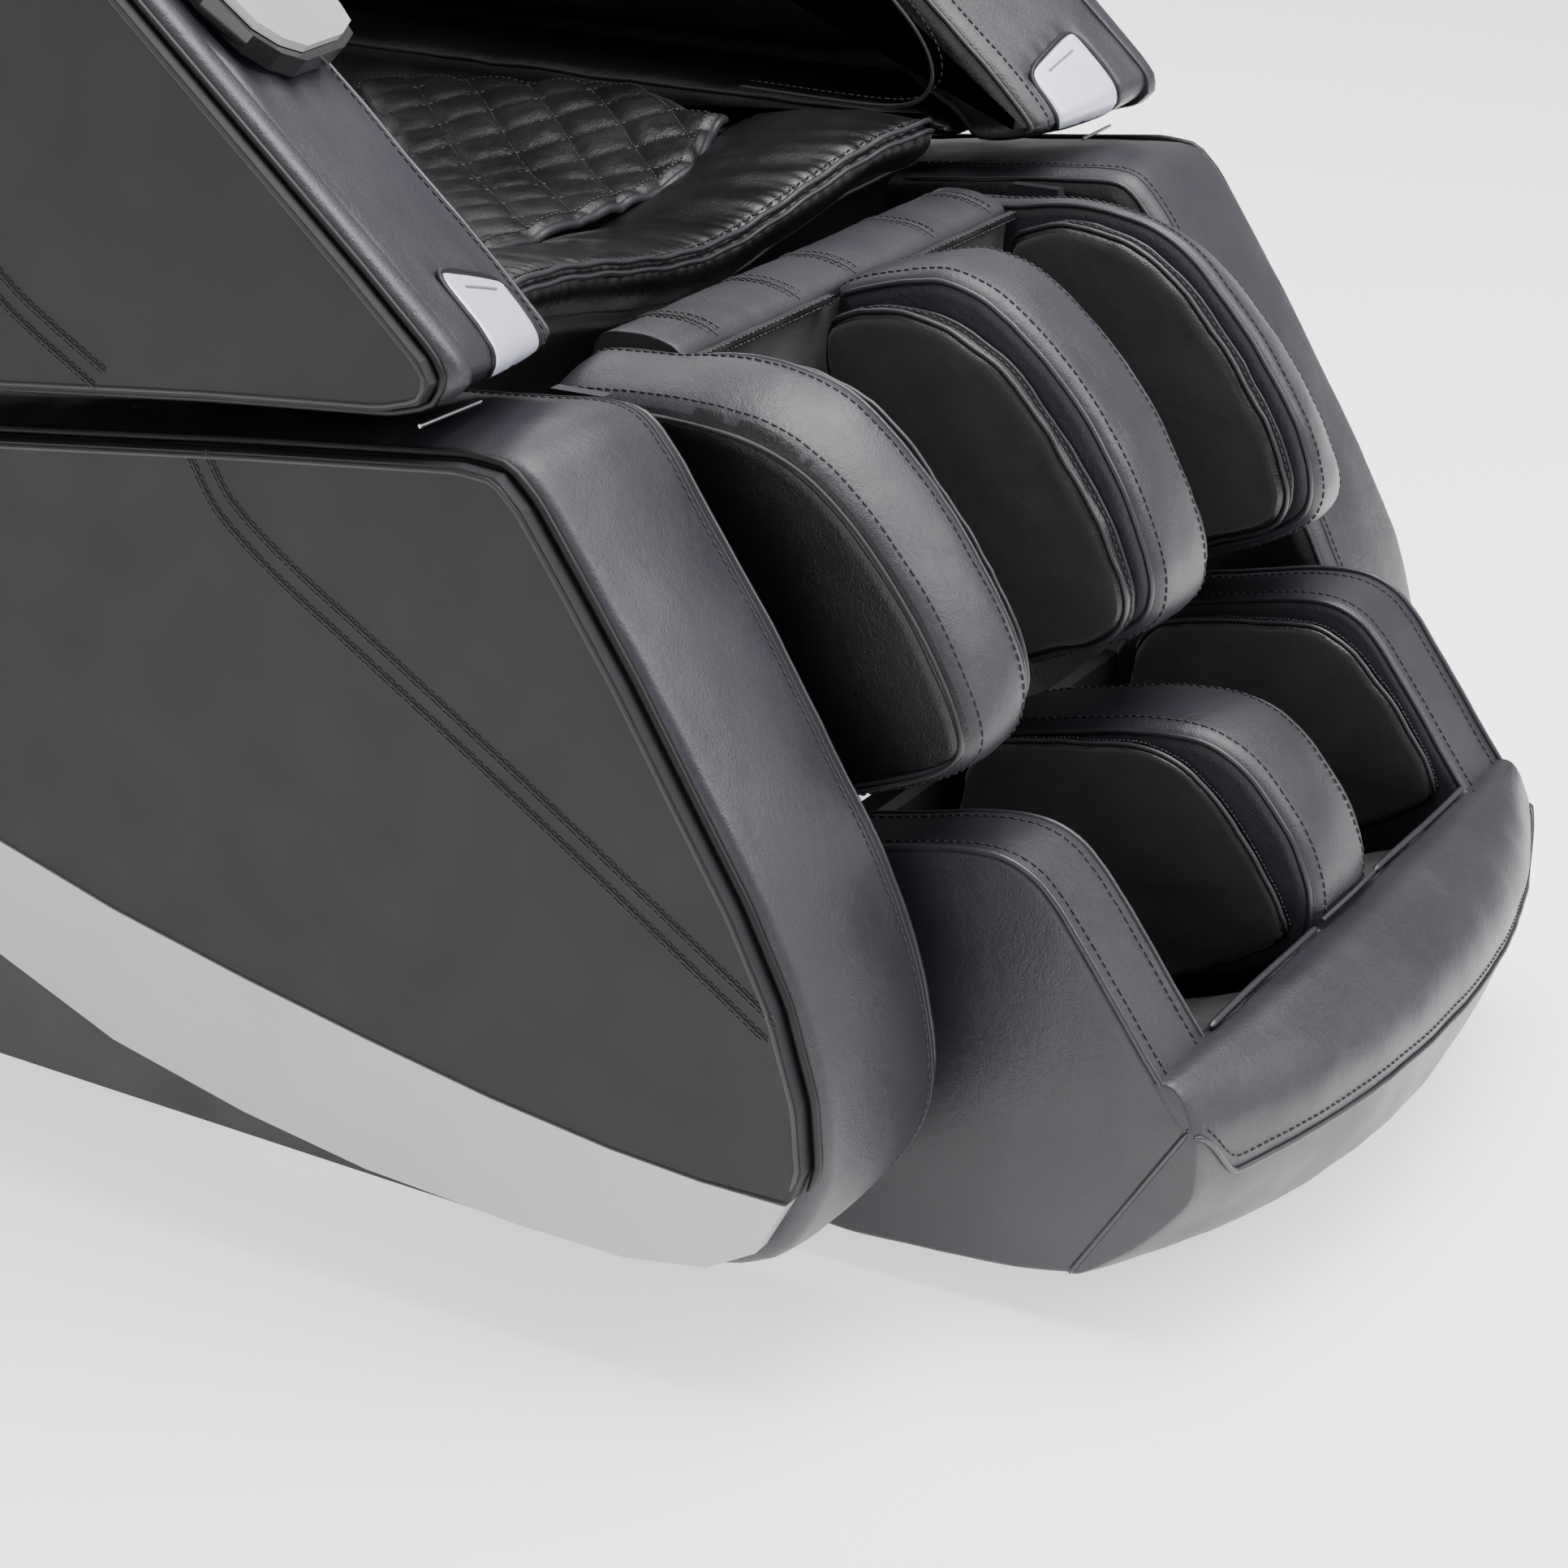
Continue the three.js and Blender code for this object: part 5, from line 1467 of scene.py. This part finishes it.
for i in range(NU):
    for j in range(NV):
        a = i * W + j
        faces.append((a, a + 1, a + W + 1, a + W))
        faces.append((nf + a, nf + a + W, nf + a + W + 1, nf + a + 1))
for i in range(NU):
    for j in (0, NV):
        a = i * W + j
        faces.append((a, a + W, nf + a + W, nf + a))
for j in range(NV):
    for i in (0, NU):
        a = i * W + j
        faces.append((a, a + 1, nf + a + 1, nf + a))
make("back_pad_soft", verts, faces, BLACK, "backrest", smooth=70, pad=0.75, node="back_pad")
lines = []
for sx in (-158, 158):
    for o in (-5, 5):
        lines.append([back(sx + o, s, bp_t(sx + o, s) - 0.4) for s in np.linspace(70, 925, 300)])
for c in CH:
    lines.append([back(x, c + 26 * (1 - (x / 150) ** 2) + 4, bp_t(x, c + 26 * (1 - (x / 150) ** 2) + 4) - 0.4) for x in np.linspace(-149, 149, 120)])
stitches("back_pad_stitch", lines, "backrest", pitch=6, length=4.2, r=0.7)
edge = [back(sgn * (bp_half(s) - 1), s, -72) for sgn, ss in ((-1, np.linspace(60, 940, 120)), ) for s in ss]
for k, sgn in enumerate((-1, 1)):
    tube(f"back_pad_piping_{k}", [back(sgn * (bp_half(s) - 0.5), s, -73) for s in np.linspace(52, 950, 160)], 2.2, PIPE, "backrest")


def inflate(o, pressure=4.0, cap=10.0, frames=20):
    """Puffs a closed soft shape with a pressure cloth and keeps the result in the mesh."""
    sc = bpy.context.scene
    r = o.modifiers.new("remesh", "REMESH")
    r.mode = "VOXEL"
    r.voxel_size = 0.006
    dg = bpy.context.evaluated_depsgraph_get()
    me = bpy.data.meshes.new_from_object(o.evaluated_get(dg))
    o.modifiers.remove(r)
    mats = [m for m in o.data.materials]
    o.data = me
    me.materials.clear()
    for m in mats:
        me.materials.append(m)
    rest = np.array([v.co[:] for v in me.vertices])
    c = o.modifiers.new("cloth", "CLOTH")
    c.settings.quality = 5
    c.settings.mass = 0.3
    c.settings.tension_stiffness = 12
    c.settings.compression_stiffness = 12
    c.settings.bending_stiffness = 0.8
    c.settings.use_pressure = True
    c.settings.uniform_pressure_force = pressure
    c.settings.effector_weights.gravity = 0
    c.point_cache.frame_start, c.point_cache.frame_end = 1, frames
    for f in range(1, frames + 1):
        sc.frame_set(f)
    dg = bpy.context.evaluated_depsgraph_get()
    ev = o.evaluated_get(dg).to_mesh()
    now = np.array([v.co[:] for v in ev.vertices])
    d = now - rest
    L = np.linalg.norm(d, axis=1, keepdims=True)
    d *= np.minimum(1.0, cap * MM / np.maximum(L, 1e-9))
    o.modifiers.remove(c)
    for v, q in zip(me.vertices, rest + d):
        v.co = q
    sc.frame_set(1)
    me.shade_smooth()
    s = o.modifiers.new("fine", "SUBSURF")
    s.levels = s.render_levels = 1


hp = Wrap([[772, -126], [772, -156], [792, -172], [850, -176], [906, -165], [926, -148], [926, -126]], -140, 140, 1, ra=18, rb=18, crown=5, soft=3, step=8, frame_of=bk_frame)
o = hp.build("head_pillow_soft", BLACK, "backrest", dome=(None, None), smooth=None, pad=0.7, node="head_pillow")
inflate(o, 4.0, 7.0)
tube("head_pillow_piping", [back(x, 850 + 72 * math.sin(a), -150) for x, a in [(143 * math.copysign(abs(math.cos(q)) ** 0.35, math.cos(q)), math.asin(max(-1, min(1, math.copysign(abs(math.sin(q)) ** 0.35, math.sin(q)))))) for q in np.linspace(0, 2 * math.pi, 120)[:-1]]], 2.2, PIPE, "backrest", closed=True)



def rear_t(s):
    return interp([(112, 116), (150, 132), (180, 142), (300, 163), (420, 176), (500, 181), (600, 184), (700, 183), (780, 179), (850, 170), (900, 156), (935, 139), (985, 96), (1010, 40)], s)


OUT = [(262, 114), (262, 330), (270, 342), (300, 348), (356, 370), (392, 410), (399, 460), (399, 740), (390, 820), (356, 900), (296, 962), (200, 998), (100, 1011), (0, 1015)]
SC = 590.0
_loop = chaikin([(0, 114)] + OUT + [(-x, s) for x, s in OUT[-2::-1]], 3)
_ang = [math.atan2(s - SC, x) for x, s in _loop]
_rad = [math.hypot(x, s - SC) for x, s in _loop]
_o = sorted(range(len(_ang)), key=lambda i: _ang[i])
_ang = [_ang[i] for i in _o]
_rad = [_rad[i] for i in _o]


def shell_r(a):
    return float(np.interp(a, [_ang[-1] - 2 * math.pi] + _ang + [_ang[0] + 2 * math.pi], [_rad[-1]] + _rad + [_rad[0]]))


def shell_t(x, s):
    """Rear face of the back shell at (x, s): full in the middle, rolled over towards the rim."""
    f = min(1.0, math.hypot(x, s - SC) / max(1e-6, shell_r(math.atan2(s - SC, x))))
    return -20 + (rear_t(s) + 20) * (1 - f ** 8) ** (1 / 5.0)


NA = 200
FS = [1.0, 0.999, 0.996, 0.99, 0.98, 0.967, 0.95, 0.93, 0.905, 0.875, 0.84, 0.79, 0.73, 0.66, 0.58, 0.49, 0.39, 0.28, 0.16, 0.06]
verts, faces = [], []
for f in FS:
    for k in range(NA):
        a = -math.pi + 2 * math.pi * k / NA
        r = shell_r(a) * f
        x, s = r * math.cos(a), SC + r * math.sin(a)
        t = -20 if f == 1.0 else shell_t(x, s)
        verts.append(back(x, s, t))
for j in range(len(FS) - 1):
    for k in range(NA):
        a, b = j * NA + k, j * NA + (k + 1) % NA
        faces.append((a, b, b + NA, a + NA))
faces.append(tuple(range((len(FS) - 1) * NA, len(FS) * NA)))
o = make("back_shell_skin", verts, faces, PANEL, "backrest", smooth=60, node="back_shell")
sm = o.modifiers.new("thick", "SOLIDIFY")
sm.thickness, sm.offset = 7 * MM, -1
for n in ("back_rail_R", "back_rail_L", "massage_carriage"):
    keep(n, STEEL, 1.5, 2)


def rear_pt(u, v):
    s = 330 + 500 * u
    h = 226 - 30 * S((u - 0.7) / 0.3)
    c = 30
    e = min(s - 330, 830 - s)
    if e < c:
        h -= c - math.sqrt(max(0, c * c - (c - e) ** 2))
    x = (2 * v - 1) * h
    ed = min(h - abs(x), e)
    return back(x, s, shell_t(x, s) + 0.6 + 2.4 * min(1, max(0, ed) / 5) ** 0.5)


grid("rear_access_panel", rear_pt, 70, 40, COVER, "backrest", smooth=None, thick=1.6)
rp = [rear_pt(u, 0) for u in np.linspace(0, 1, 60)] + [rear_pt(1, v) for v in np.linspace(0.02, 1, 30)] + [rear_pt(u, 1) for u in np.linspace(0.99, 0, 60)] + [rear_pt(0, v) for v in np.linspace(0.98, 0.02, 30)]
tube("rear_panel_gasket", rp, 1.8, GASKET, "backrest", closed=True)
# rim piping where the shell meets the soft front
half = [(262, 344), (300, 347), (356, 369), (390, 411), (397, 460), (397, 740), (387, 818), (354, 897), (295, 959), (200, 995), (100, 1009), (0, 1013)]
loop = smooth_path(half + [(-x, s) for x, s in half[-2::-1]], 6)
tube("back_rim_piping", [back(x, s, -14) for x, s in loop], 3.2, PIPE, "backrest")
stitches("back_rim_stitch", [[back(x * 1.0025, s + (2.4 if s > 960 else 0), -2) for x, s in loop]], "backrest")
